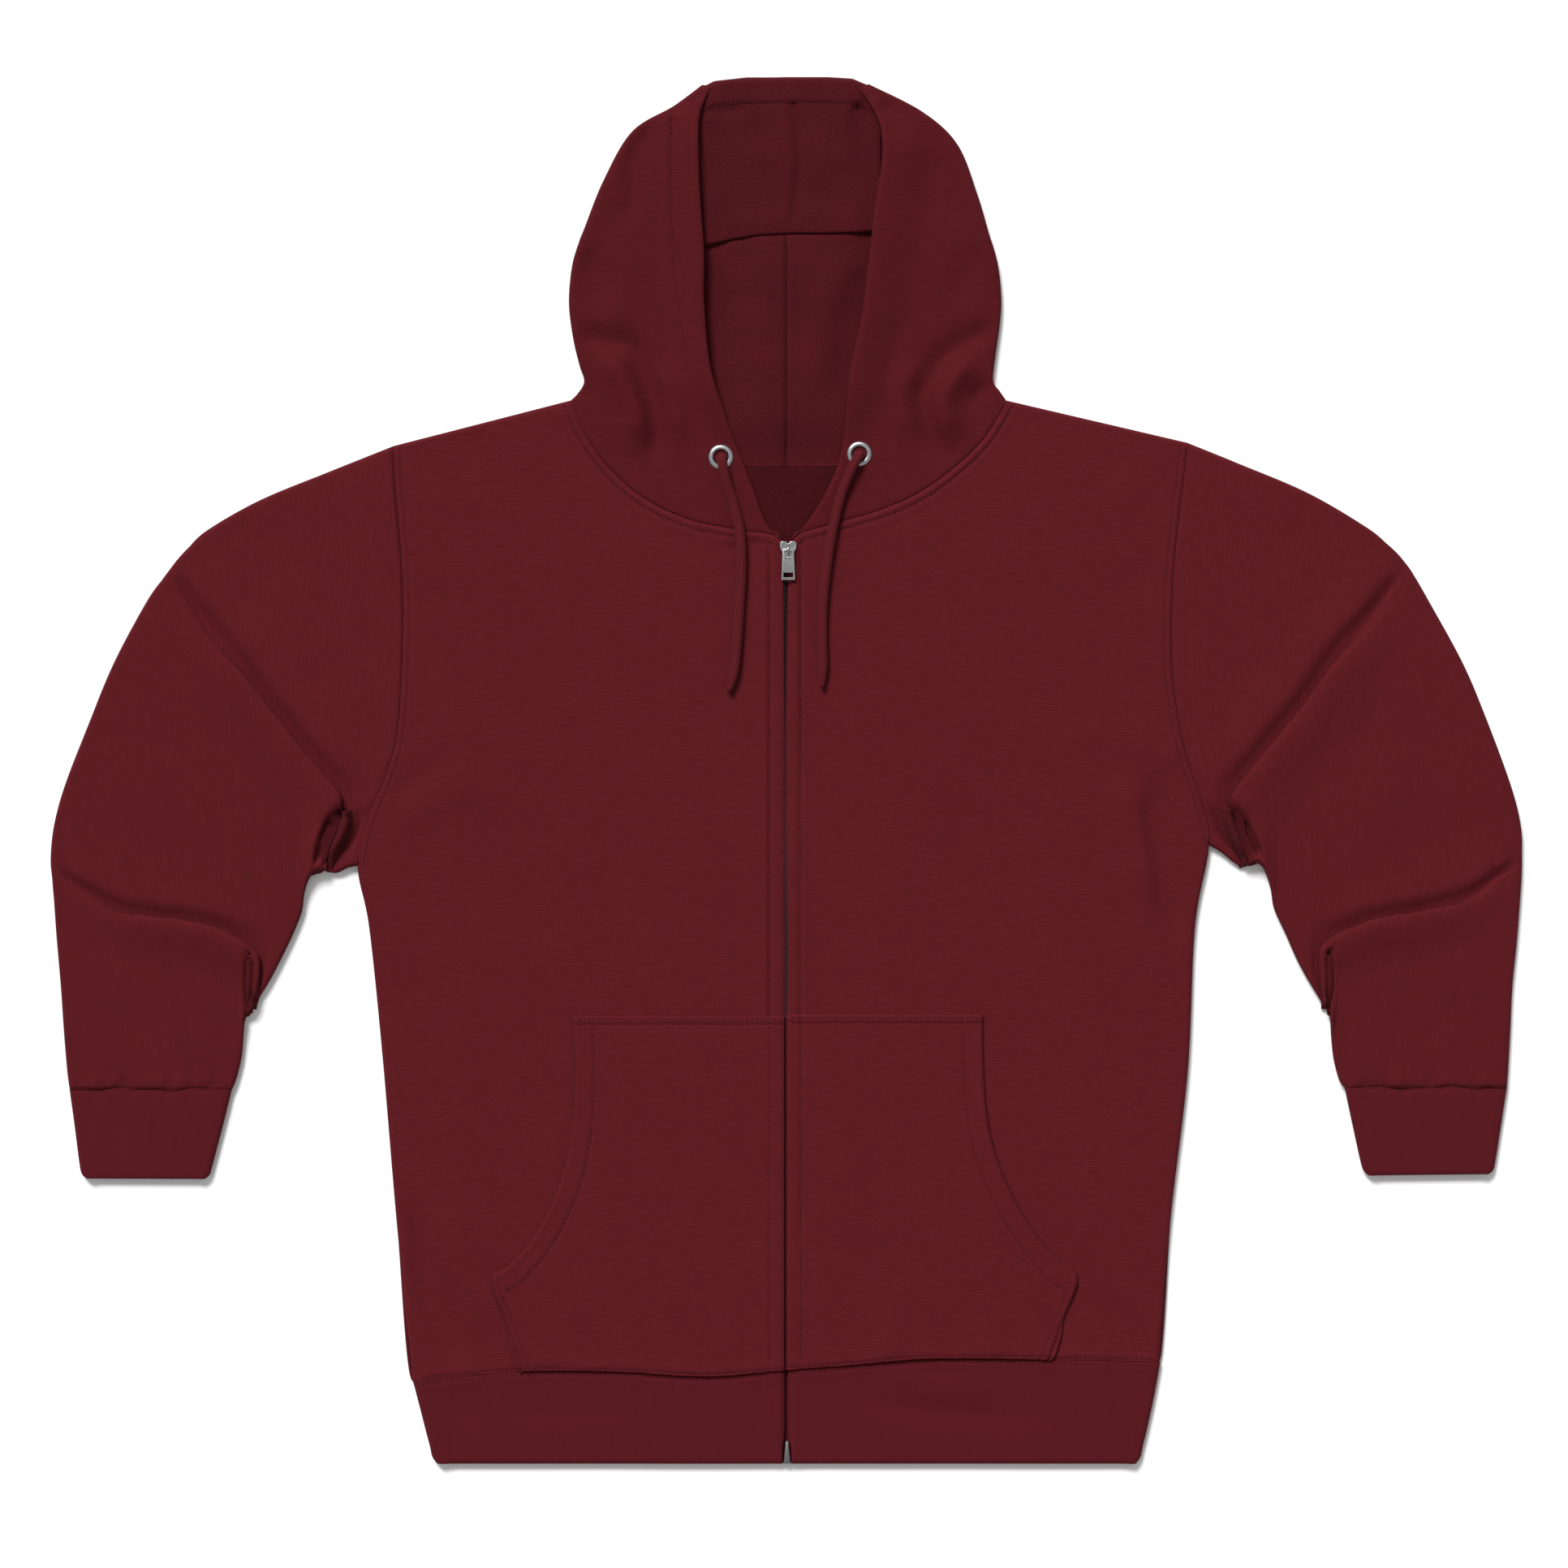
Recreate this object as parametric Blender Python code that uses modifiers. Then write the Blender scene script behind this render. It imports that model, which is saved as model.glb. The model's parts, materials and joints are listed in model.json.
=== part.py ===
"""A zip-up hoodie laid flat on its back, front up, in metres, with +Z up and +Y towards the hood.

Every cloth piece is a grid whose points are worked out from its rows, then thickened with Solidify.
Rows are measured from the zip line outwards, for the wearer's right (at -X) and left (at +X).
"""

import math
from collections import namedtuple

import bmesh
import bpy
from mathutils import Vector

# Driving sizes.
mm = 0.001
cloth = 2.0 * mm  # fleece
rib = 2.6 * mm  # cuffs and waistband are folded double
seam_gap = 0.4 * mm
rest_gap = 0.3 * mm  # between pieces that lie on each other
flat_height = 6.6 * mm  # from the floor to the top of two layers laid flat
roll = flat_height / 2  # radius of the fold down each side
edge_share = 1 - 0.4 * mm / roll  # how far down a fold its seam is
crown_layers = 4.3 * mm  # the hood's pleat, folded double
zip_edge = 1.1 * mm  # from the zip line to a front's edge
cord_size = 6.2 * mm
eyelet_outer, eyelet_inner, eyelet_height = 8.4 * mm, 4.7 * mm, 1.2 * mm

# Right is the wearer's right.
sides = {"right": -1, "left": 1}

# The fronts, from the hem up. `outer` runs up the side to the armpit, then round the armhole to the
# shoulder; `inner` runs up the zip, then round the neck. Millimetres.
Front = namedtuple("Front", "outer_x outer_y inner_x inner_y")
armpit_row, neck_row = 4, 10
front_rows = {
    "right": [
        Front(248.4, -405.8, 1.1, -399.3),
        Front(258.7, -307.0, 1.1, -307.0),
        Front(268.9, -188.2, 1.1, -188.2),
        Front(277.6, -104.5, 1.1, -104.5),
        Front(285.1, -63.5, 1.1, -58.0),
        Front(277.0, -29.4, 1.1, -30.0),
        Front(267.0, -5.0, 1.1, 0.0),
        Front(259.2, 22.0, 1.1, 35.0),
        Front(256.0, 60.0, 1.1, 80.0),
        Front(254.9, 95.0, 1.1, 125.0),
        Front(255.0, 118.0, 1.6, 153.1),
        Front(255.8, 138.0, 32.0, 160.0),
        Front(257.0, 155.0, 64.0, 166.6),
        Front(258.3, 170.0, 94.0, 180.6),
        Front(259.6, 185.0, 118.3, 201.7),
        Front(260.7, 200.0, 134.0, 224.0),
        Front(261.4, 215.7, 143.6, 246.0),
    ],
    "left": [
        Front(247.9, -393.4, 1.1, -398.8),
        Front(256.0, -296.2, 1.1, -296.2),
        Front(267.3, -199.0, 1.1, -199.0),
        Front(272.0, -104.5, 1.1, -104.5),
        Front(281.3, -50.0, 1.1, -54.0),
        Front(275.9, -20.3, 1.1, -25.0),
        Front(266.8, 6.8, 1.1, 5.0),
        Front(261.0, 32.0, 1.1, 40.0),
        Front(256.6, 65.0, 1.1, 85.0),
        Front(256.0, 98.0, 1.1, 125.0),
        Front(256.8, 122.0, 1.6, 152.8),
        Front(258.3, 143.0, 32.0, 164.2),
        Front(260.0, 160.0, 62.0, 173.0),
        Front(261.8, 175.0, 90.7, 186.0),
        Front(263.6, 189.5, 117.7, 206.6),
        Front(265.4, 204.0, 134.0, 224.4),
        Front(266.8, 217.9, 146.5, 246.0),
    ],
}

# The hem seam, across the whole front. Millimetres.
Hem = namedtuple("Hem", "x y")
hem_seam = [
    Hem(-247.5, -406.8),
    Hem(-175.0, -400.0),
    Hem(-113.0, -400.2),
    Hem(-53.5, -403.4),
    Hem(0.0, -399.2),
    Hem(43.7, -395.8),
    Hem(97.7, -391.4),
    Hem(173.3, -392.2),
    Hem(247.7, -393.6),
]

# The sleeves, from the armhole down. A ring runs from its outer fold to its inner one, `bow` swings
# it towards the body and `lift` raises its upper wall: low, then high, where the lower part of the
# sleeve is pulled up over the upper part. The armhole itself is ring 0. Millimetres.
Ring = namedtuple("Ring", "outer_x outer_y inner_x inner_y bow lift")
sleeve_rings = {
    "right": [
        Ring(307.3, 197.4, 292.1, -65.1, 14.4, 0.0),
        Ring(350.5, 179.6, 296.5, -67.5, 22.5, -0.2),
        Ring(385.0, 160.0, 300.0, -68.5, 27.0, -0.8),
        Ring(398.0, 148.0, 304.0, -68.0, 29.7, -1.4),
        Ring(405.0, 140.5, 309.5, -67.0, 31.5, -1.5),
        Ring(410.0, 134.0, 314.5, -68.5, 31.5, 1.4),
        Ring(414.6, 127.8, 318.0, -73.5, 29.7, 3.4),
        Ring(426.1, 111.5, 320.8, -83.0, 25.2, 3.0),
        Ring(447.7, 71.0, 322.5, -95.0, 18.0, 1.5),
        Ring(464.4, 30.5, 329.0, -111.0, 14.4, 0.5),
        Ring(480.1, -10.0, 336.5, -126.5, 18.0, 0.0),
        Ring(487.4, -37.0, 343.0, -139.0, 26.1, -0.4),
        Ring(489.6, -58.6, 350.0, -150.5, 36.0, -0.9),
        Ring(488.6, -72.0, 355.5, -159.5, 42.3, -1.2),
        Ring(488.0, -80.0, 358.5, -162.5, 44.1, 0.8),
        Ring(487.3, -88.0, 360.4, -168.0, 43.2, 2.2),
        Ring(485.6, -112.0, 361.3, -179.0, 37.8, 1.6),
        Ring(483.0, -142.0, 362.2, -190.0, 27.0, 0.7),
        Ring(480.7, -175.0, 364.5, -200.5, 14.4, 0.2),
        Ring(478.6, -200.0, 366.8, -208.0, 5.4, 0.0),
        Ring(476.8, -212.5, 368.8, -212.5, 0.0, 0.0),
    ],
    "left": [
        Ring(300.0, 204.5, 289.0, -54.5, 14.4, 0.0),
        Ring(347.0, 184.6, 296.5, -60.5, 22.5, -0.2),
        Ring(386.0, 161.8, 302.5, -64.0, 27.0, -0.8),
        Ring(400.0, 150.5, 307.5, -62.5, 29.7, -1.4),
        Ring(407.0, 144.0, 312.5, -61.5, 31.5, -1.5),
        Ring(412.0, 138.0, 316.5, -64.0, 31.5, 1.4),
        Ring(417.0, 131.0, 319.5, -70.0, 29.7, 3.4),
        Ring(428.0, 112.0, 322.5, -80.0, 25.2, 3.0),
        Ring(450.4, 71.0, 324.5, -92.0, 18.0, 1.5),
        Ring(466.0, 34.0, 332.0, -108.5, 14.4, 0.5),
        Ring(482.2, -10.0, 339.5, -125.5, 18.0, 0.0),
        Ring(488.9, -37.0, 346.5, -138.5, 26.1, -0.4),
        Ring(489.6, -57.0, 353.5, -150.0, 36.0, -0.9),
        Ring(489.4, -70.0, 358.3, -157.5, 42.3, -1.2),
        Ring(488.9, -78.0, 361.0, -160.5, 44.1, 0.8),
        Ring(488.3, -87.0, 361.9, -166.5, 43.2, 2.2),
        Ring(486.2, -114.0, 362.6, -178.0, 37.8, 1.6),
        Ring(483.3, -143.0, 363.8, -190.0, 27.0, 0.7),
        Ring(481.9, -172.0, 366.0, -200.0, 14.4, 0.2),
        Ring(480.5, -198.0, 368.5, -207.5, 5.4, 0.0),
        Ring(479.5, -211.4, 371.5, -211.4, 0.0, 0.0),
    ],
}

# The cuffs, from the sleeve down. Millimetres.
Cuff = namedtuple("Cuff", "outer_x outer_y inner_x inner_y")
cuff_rings = {
    "right": [
        Cuff(476.9, -212.9, 368.9, -212.9),
        Cuff(473.5, -238.0, 375.3, -238.4),
        Cuff(470.4, -262.0, 381.8, -263.0),
        Cuff(468.9, -268.5, 383.6, -269.0),
        Cuff(465.9, -271.6, 386.6, -271.9),
    ],
    "left": [
        Cuff(479.4, -211.8, 371.6, -211.8),
        Cuff(475.6, -237.0, 377.0, -237.0),
        Cuff(472.0, -260.0, 382.3, -261.0),
        Cuff(470.6, -266.0, 384.3, -266.6),
        Cuff(467.6, -268.7, 387.4, -269.6),
    ],
}

# The hood halves, from the neck up. A row runs from the centre seam on the lower layer, out to the
# fold, and back over the top to the edge of the face opening. Millimetres.
Hood = namedtuple("Hood", "fold_x fold_y edge_x edge_y centre_y")
hood_rows = {
    "right": [
        Hood(143.6, 246.0, 1.6, 153.1, 202.0),
        Hood(138.8, 250.8, 14.0, 163.4, 208.0),
        Hood(134.5, 258.9, 23.0, 187.0, 218.0),
        Hood(137.7, 269.7, 32.4, 211.0, 232.0),
        Hood(142.0, 288.1, 41.0, 234.0, 254.0),
        Hood(144.7, 311.3, 51.5, 268.0, 284.0),
        Hood(142.6, 335.6, 55.6, 310.0, 318.0),
        Hood(137.5, 353.0, 55.6, 338.0, 354.5),
        Hood(134.5, 360.5, 56.0, 350.0, 358.5),
        Hood(121.5, 392.9, 58.4, 384.0, 386.0),
        Hood(102.6, 425.2, 59.4, 413.0, 418.0),
        Hood(75.1, 442.0, 58.5, 436.0, 441.0),
        Hood(56.0, 456.0, 51.5, 453.5, 461.3),
    ],
    "left": [
        Hood(146.5, 246.0, 1.6, 152.8, 202.0),
        Hood(142.0, 252.5, 13.5, 163.0, 208.0),
        Hood(137.7, 259.4, 26.0, 182.0, 218.0),
        Hood(139.3, 276.2, 36.0, 205.0, 232.0),
        Hood(142.0, 295.7, 40.5, 232.0, 254.0),
        Hood(143.1, 312.9, 43.5, 265.0, 284.0),
        Hood(141.5, 332.9, 51.0, 300.0, 318.0),
        Hood(138.0, 348.0, 54.6, 328.0, 354.5),
        Hood(135.3, 356.0, 56.6, 343.0, 358.5),
        Hood(126.9, 384.2, 60.6, 378.0, 386.0),
        Hood(113.9, 416.6, 64.5, 404.0, 418.0),
        Hood(90.7, 438.2, 63.0, 430.0, 441.0),
        Hood(55.0, 456.4, 49.5, 454.0, 461.3),
    ],
}
crown_row = 8  # the pleat of the hood's crown starts here

# The pockets, from the top seam down the curved opening, then along the short slant. Millimetres.
Pocket = namedtuple("Pocket", "x y")
pocket_rows = {
    "right": [
        Pocket(142.0, -163.4),
        Pocket(140.9, -204.4),
        Pocket(143.1, -239.5),
        Pocket(150.7, -274.6),
        Pocket(166.9, -308.1),
        Pocket(184.5, -329.0),
        Pocket(196.6, -338.6),
        Pocket(187.0, -368.0),
        Pocket(176.0, -398.4),
    ],
    "left": [
        Pocket(131.2, -162.3),
        Pocket(131.8, -204.4),
        Pocket(136.1, -242.2),
        Pocket(147.4, -275.7),
        Pocket(165.2, -307.0),
        Pocket(182.5, -327.5),
        Pocket(194.4, -337.6),
        Pocket(185.2, -363.7),
        Pocket(175.4, -390.4),
    ],
}

# Soft folds in the upper layers, as troughs and ridges between two ends. Millimetres.
Fold = namedtuple("Fold", "x1 y1 x2 y2 width height")
soft_folds = [
    Fold(-136.0, 288.0, -98.0, 276.0, 11.0, -1.3),
    Fold(-98.0, 276.0, -88.0, 222.0, 11.0, -1.6),
    Fold(-76.0, 268.0, -66.0, 230.0, 12.0, 0.8),
    Fold(-102.0, 420.0, -104.0, 372.0, 12.0, -1.2),
    Fold(-132.0, 350.0, -122.0, 312.0, 12.0, -1.0),
    Fold(132.0, 292.0, 96.0, 262.0, 11.0, -1.3),
    Fold(96.0, 262.0, 98.0, 222.0, 11.0, -1.6),
    Fold(120.0, 262.0, 114.0, 232.0, 12.0, 0.9),
    Fold(-250.0, -290.0, -212.0, -396.0, 16.0, -1.4),
    Fold(-226.0, -284.0, -184.0, -370.0, 18.0, 1.0),
    Fold(256.0, -20.0, 262.0, -125.0, 14.0, -1.4),
    Fold(232.0, -30.0, 236.0, -110.0, 18.0, 0.9),
    Fold(222.0, -350.0, 246.0, -384.0, 14.0, -1.0),
    Fold(-157.0, -384.0, -150.0, -336.0, 12.0, 0.8),
    Fold(145.0, -384.0, 136.0, -340.0, 12.0, 0.8),
    Fold(29.0, -245.0, 56.0, -318.0, 16.0, 1.0),
    Fold(-330.0, 150.0, -372.0, 100.0, 18.0, -0.9),
    Fold(336.0, 152.0, 376.0, 108.0, 18.0, -0.9),
]

# The free ends of the cord, from the eyelet down over the chest. Millimetres.
Route = namedtuple("Route", "x y z")
eyelets = {"right": Route(-43.5, 208.2, 0.0), "left": Route(48.6, 210.3, 0.0)}
cord_routes = {
    "right": [
        Route(-43.5, 208.2, 7.2),
        Route(-43.4, 207.8, 9.2),
        Route(-43.2, 206.4, 11.0),
        Route(-42.4, 203.4, 11.9),
        Route(-41.0, 196.6, 11.9),
        Route(-38.5, 186.8, 10.9),
        Route(-35.6, 178.4, 10.3),
        Route(-30.8, 158.6, 10.5),
        Route(-29.7, 135.8, 10.5),
        Route(-30.8, 111.5, 10.5),
        Route(-32.4, 87.2, 10.5),
        Route(-34.6, 65.6, 10.5),
        Route(-38.3, 51.8, 10.5),
    ],
    "left": [
        Route(48.6, 210.3, 7.2),
        Route(48.5, 209.9, 9.2),
        Route(47.9, 208.5, 11.0),
        Route(46.5, 205.9, 11.9),
        Route(43.2, 199.6, 11.9),
        Route(39.4, 190.6, 10.9),
        Route(36.4, 182.6, 10.3),
        Route(32.0, 165.4, 10.5),
        Route(28.2, 144.0, 10.5),
        Route(25.2, 120.0, 10.5),
        Route(23.9, 96.0, 10.5),
        Route(24.4, 72.0, 10.5),
        Route(23.9, 54.4, 10.5),
    ],
}

# The hem band, from the hem seam down: each side's fold, and its two ends at the zip. Millimetres.
Band = namedtuple("Band", "right_x right_y left_x left_y right_end left_end")
band_rows = [
    Band(247.0, -407.0, 247.6, -393.8, 1.1, 1.1),
    Band(243.4, -424.5, 244.4, -417.0, 1.1, 1.1),
    Band(239.6, -441.0, 239.8, -440.0, 1.1, 1.1),
    Band(237.2, -450.0, 237.4, -449.5, 2.2, 3.2),
    Band(235.6, -457.0, 236.0, -456.5, 2.4, 3.4),
    Band(232.4, -461.3, 233.0, -461.3, 2.4, 3.4),
]

# The slider, its bail and the pull tab, which turns on the bail.
slider_centre = Vector((1.3 * mm, 146.2 * mm, 0))
slider_size = Vector((11.2 * mm, 11.6 * mm, 2.4 * mm))
slider_floor = flat_height + rest_gap
bail_wire, bail_reach = 0.7 * mm, 2.9 * mm
pivot = Vector((slider_centre.x, slider_centre.y, slider_floor + slider_size.z + 1.35 * mm))
tab_length, tab_width, tab_thickness = 20.0 * mm, 9.4 * mm, 1.2 * mm
tab_slope = math.radians(4)
bail_height = 3.0 * mm
tab_bar, tab_narrowing = 1.4 * mm, 0.8
tab_eye = Vector((4.4 * mm, 5.3 * mm))
tab_slot, tab_slot_at = Vector((6.6 * mm, 3.2 * mm)), 16.6 * mm

# The box at the foot of the zip, between the ends of the hem band.
box_size = Vector((4.6 * mm, 15.0 * mm, 2.8 * mm))
box_centre = Vector((0.5 * mm, -453.8 * mm, rib + 0.4 * mm + box_size.z / 2))

tape_width, tape_thickness = 12.0 * mm, 1.0 * mm
tape_top, tape_foot = 148.0 * mm, -396.0 * mm
pocket_inner, pocket_gap = 2.6 * mm, 0.6 * mm
front_steps, side_steps, armhole_steps, lower_steps = 18, 15, 14, 6  # spaces between grid lines
pocket_columns, pocket_levels = 12, 18
shape_row = 5  # the back is level across up to here, then takes the shoulders' slope
near_armpit = [3.93, armpit_row, 4.15]
unfold_from, unfold_over = 0.15, 0.22  # rows above the armpit, over which a side's fold opens out
neck_middle = 24 * mm  # the back neck is level this far out from its middle
neck_end = 3 * mm  # the shoulder's fold starts over this length
relief_from_edge = 12 * mm  # soft folds fade in over this distance from a fold or seam at the side
down_fold = [1.33, 1.67, 1.88, 2]  # columns or rows on a fold, the last two square to its seam
lift_over = 0.31  # share of a sleeve ring over which a pleat's lift fades in from the outer fold
crown_reach = 0.5  # share of a hood half's lower layer that is folded double at the crown

# Colours, linear.
maroon = (0.110, 0.0135, 0.0175)
deep_maroon = (0.090, 0.0105, 0.0140)
silver = (0.62, 0.62, 0.63)
steel = (0.42, 0.42, 0.43)


def clear_scene():
    for item in list(bpy.data.objects):
        bpy.data.objects.remove(item, do_unlink=True)


def new_collection(name):
    group = bpy.data.collections.new(name)
    bpy.context.scene.collection.children.link(group)
    return group


def material(name, colour, roughness, metallic):
    made = bpy.data.materials.new(name)
    made.use_nodes = True
    shader = made.node_tree.nodes["Principled BSDF"]
    shader.inputs["Base Color"].default_value = (*colour, 1)
    shader.inputs["Roughness"].default_value = roughness
    shader.inputs["Metallic"].default_value = metallic
    made.diffuse_color = (*colour, 1)
    return made


def smooth(t):
    t = min(max(t, 0), 1)
    return t * t * (3 - 2 * t)


def mix(a, b, t):
    return a + (b - a) * t


def steps(first, last, count):
    return [mix(first, last, k / count) for k in range(count + 1)]


def at(rows, t):
    """The row at index t, which may be a fraction, on a smooth curve through all the rows."""
    last = len(rows) - 1
    i = min(max(int(t), 0), last - 1)
    f = t - i
    near = (rows[min(max(k, 0), last)] for k in (i - 1, i, i + 1, i + 2))
    return type(rows[0])(
        *(
            b + 0.5 * f * (c - a + f * (2 * a - 5 * b + 4 * c - d + f * (3 * (b - c) + d - a)))
            for a, b, c, d in zip(*near)
        )
    )


def walk(points, distance):
    """The point at this distance along a line of points."""
    for here, there in zip(points, points[1:]):
        length = (there - here).length
        if distance <= length or there is points[-1]:
            return here + (there - here) * (distance / length)
        distance -= length


def length_of(points):
    return sum((there - here).length for here, there in zip(points, points[1:]))


def distance_to(points, spot):
    """How far along a line of points its nearest point to a spot is."""
    nearest = min(range(len(points)), key=lambda k: (points[k] - spot).length)
    return length_of(points[: nearest + 1])


def relief(x, y):
    """How far the soft folds raise or lower the upper layer at a place in plan, in metres."""
    height = 0
    for fold in soft_folds:
        start = Vector((fold.x1, fold.y1)) * mm
        along = Vector((fold.x2, fold.y2)) * mm - start
        t = (Vector((x, y)) - start).dot(along) / along.length_squared
        away = (Vector((x, y)) - start - along * min(max(t, 0), 1)).length / (fold.width * mm)
        height += fold.height * math.exp(-away * away)
    return height * mm


def hem_y(x):
    """The hem seam's height in plan at x, both in metres."""
    i = 0
    while i < len(hem_seam) - 2 and x > hem_seam[i + 1].x * mm:
        i += 1
    here, there = hem_seam[i], hem_seam[i + 1]
    return at(hem_seam, i + (x / mm - here.x) / (there.x - here.x)).y * mm


def straight_hem_y(x):
    first, last = hem_seam[0], hem_seam[-1]
    return mix(first.y, last.y, (x / mm - first.x) / (last.x - first.x)) * mm


def rolled(distance, radius=roll):
    """A fold's (inset, drop) for a point this far round it from the middle of its edge."""
    turn = min(distance / radius, math.pi / 2)
    past = max(distance - radius * math.pi / 2, 0)
    return radius * (1 - math.cos(turn)) + past, radius * (1 - math.sin(turn))


def around(c, length, radius=roll):
    """A flat tube's (distance from its outer fold, height from -1 to 1).

    c goes round it: 0-1 up from the middle of the outer fold, 1-2 over the top, 2-4 down the inner
    fold, 4-5 back below, 5-6 up to the start.
    """
    flat = length - 2 * radius
    if c <= 1 or c >= 5:
        turn = (c if c <= 1 else c - 6) * math.pi / 2
        return radius * (1 - math.cos(turn)), math.sin(turn)
    if 2 < c < 4:
        turn = (3 - c) * math.pi / 2
        return length - radius * (1 - math.cos(turn)), math.sin(turn)
    return (radius + flat * (c - 1), 1) if c <= 2 else (radius + flat * (5 - c), -1)


def finished(name, work, finish):
    mesh = bpy.data.meshes.new(name)
    work.to_mesh(mesh)
    work.free()
    for face in mesh.polygons:
        face.use_smooth = True
    made = bpy.data.objects.new(name, mesh)
    made.data.materials.append(finish)
    hoodie.objects.link(made)
    return made


def sheet(name, place, columns, rows, finish, thickness=cloth, inside_out=False, closed=False,
          double=None):
    """A grid with place(column, row) at its crossings, thickened inwards from that outer face.

    Where double(column, row) holds, the wall is the full thickness, and one layer elsewhere.
    """
    work = bmesh.new()
    bmesh.ops.create_grid(work, x_segments=len(columns) - 1, y_segments=len(rows) - 1, size=1)
    doubled = []
    for vertex in work.verts:
        i = round((vertex.co.x + 1) / 2 * (len(columns) - 1))
        j = round((vertex.co.y + 1) / 2 * (len(rows) - 1))
        vertex.co = place(columns[i], rows[j])
        if double and double(columns[i], rows[j]):
            doubled.append(vertex.index)
    if closed:
        bmesh.ops.remove_doubles(work, verts=work.verts, dist=0.01 * mm)
    if inside_out:
        bmesh.ops.reverse_faces(work, faces=work.faces)
    made = finished(name, work, finish)
    wall = made.modifiers.new("Wall", "SOLIDIFY")
    wall.thickness = thickness
    wall.offset = -1
    if doubled:
        made.vertex_groups.new(name="folded double").add(doubled, 1, "REPLACE")
        wall.vertex_group = "folded double"
        wall.thickness_vertex_group = cloth / thickness
    return made


def ends_of(line):
    """A table row's outer and inner ends, in metres."""
    return Vector((line.outer_x, line.outer_y)) * mm, Vector((line.inner_x, line.inner_y)) * mm


def outer_of(side, row):
    return ends_of(at(front_rows[side], row))[0]


def inner_of(side, row):
    return ends_of(at(front_rows[side], row))[1]


def seam_rows(side):
    """Rows of a front, evenly spaced round the armhole from the armpit up, and one at the neck."""
    last = len(front_rows[side]) - 1
    fine = steps(armpit_row, last, 192)
    spacing = length_of([outer_of(side, row) for row in fine]) / armhole_steps
    rows, travelled = [armpit_row], 0
    for here, there in zip(fine, fine[1:]):
        travelled += (outer_of(side, there) - outer_of(side, here)).length
        if travelled > spacing * len(rows) and len(rows) < armhole_steps:
            rows.append(there)
    return sorted(rows[1:] + [neck_row, last])


def folded(row):
    """How far a panel's side is folded at a row: fully up to the armpit, then not at all."""
    return smooth((armpit_row + unfold_from - row) / unfold_over)


def front(side, finish):
    """A front. Columns 0-1 run from the zip and neck to the side, and 1-2 down the side's fold."""
    sign, last = sides[side], len(front_rows[side]) - 1
    quarter = roll * math.pi / 2

    def along_row(column, row):
        outer, inner = outer_of(side, row), inner_of(side, row)
        length = (outer - inner).length
        distance = quarter * (2 - column) if column > 1 else quarter + (length - roll) * (1 - column)
        inset, drop = rolled(distance)
        flat_inset = mix(seam_gap / 2, length, distance / (quarter + length - roll))
        inset, drop = mix(flat_inset, inset, folded(row)), drop * folded(row)
        neck_gap = smooth(row - neck_row + 1) * seam_gap
        return outer + (inner - outer) * min(inset / length, 1 - neck_gap / length), drop

    def place(column, row):
        spot, drop = along_row(column, min(row, last))
        if row > last - 1:
            below = along_row(column, last - 1)[0]
            shoulder = along_row(column, last)[0]
            reach = (shoulder - below).length
            if row <= last:
                spot = below + (shoulder - below) * (row - last + 1) * (1 - roll / reach)
            else:
                inset, drop = rolled(quarter * (last + 1 - row))
                spot = shoulder + (below - shoulder) * (inset / reach)
        x = sign * spot.x
        y = mix(spot.y, hem_y(x) + seam_gap / 2, smooth(1 - row))
        room = (outer_of(side, min(row, last)) - spot).length - roll
        z = flat_height - drop * edge_share + relief(x, y) * smooth(room / relief_from_edge)
        return Vector((x, y, z))

    columns = steps(0, 1, front_steps) + down_fold
    rows = steps(0, 3.75, side_steps) + near_armpit + seam_rows(side)
    rows += [last - 1 + part for part in down_fold]
    return sheet(f"front_{side}", place, columns, rows, finish, inside_out=sign < 0)


def neck_bend(x, fold_x):
    """How far a line across the back neck and hood has bent from its level middle towards the fold."""
    return smooth((x - neck_middle) / (fold_x - neck_middle + 4 * mm))


def back_neck_y(side, x):
    """The back neck seam, from its middle out to the shoulder."""
    neck = front_rows[side][-1]
    return mix(hood_rows[side][0].centre_y, neck.inner_y, neck_bend(x, neck.inner_x * mm)) * mm


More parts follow.
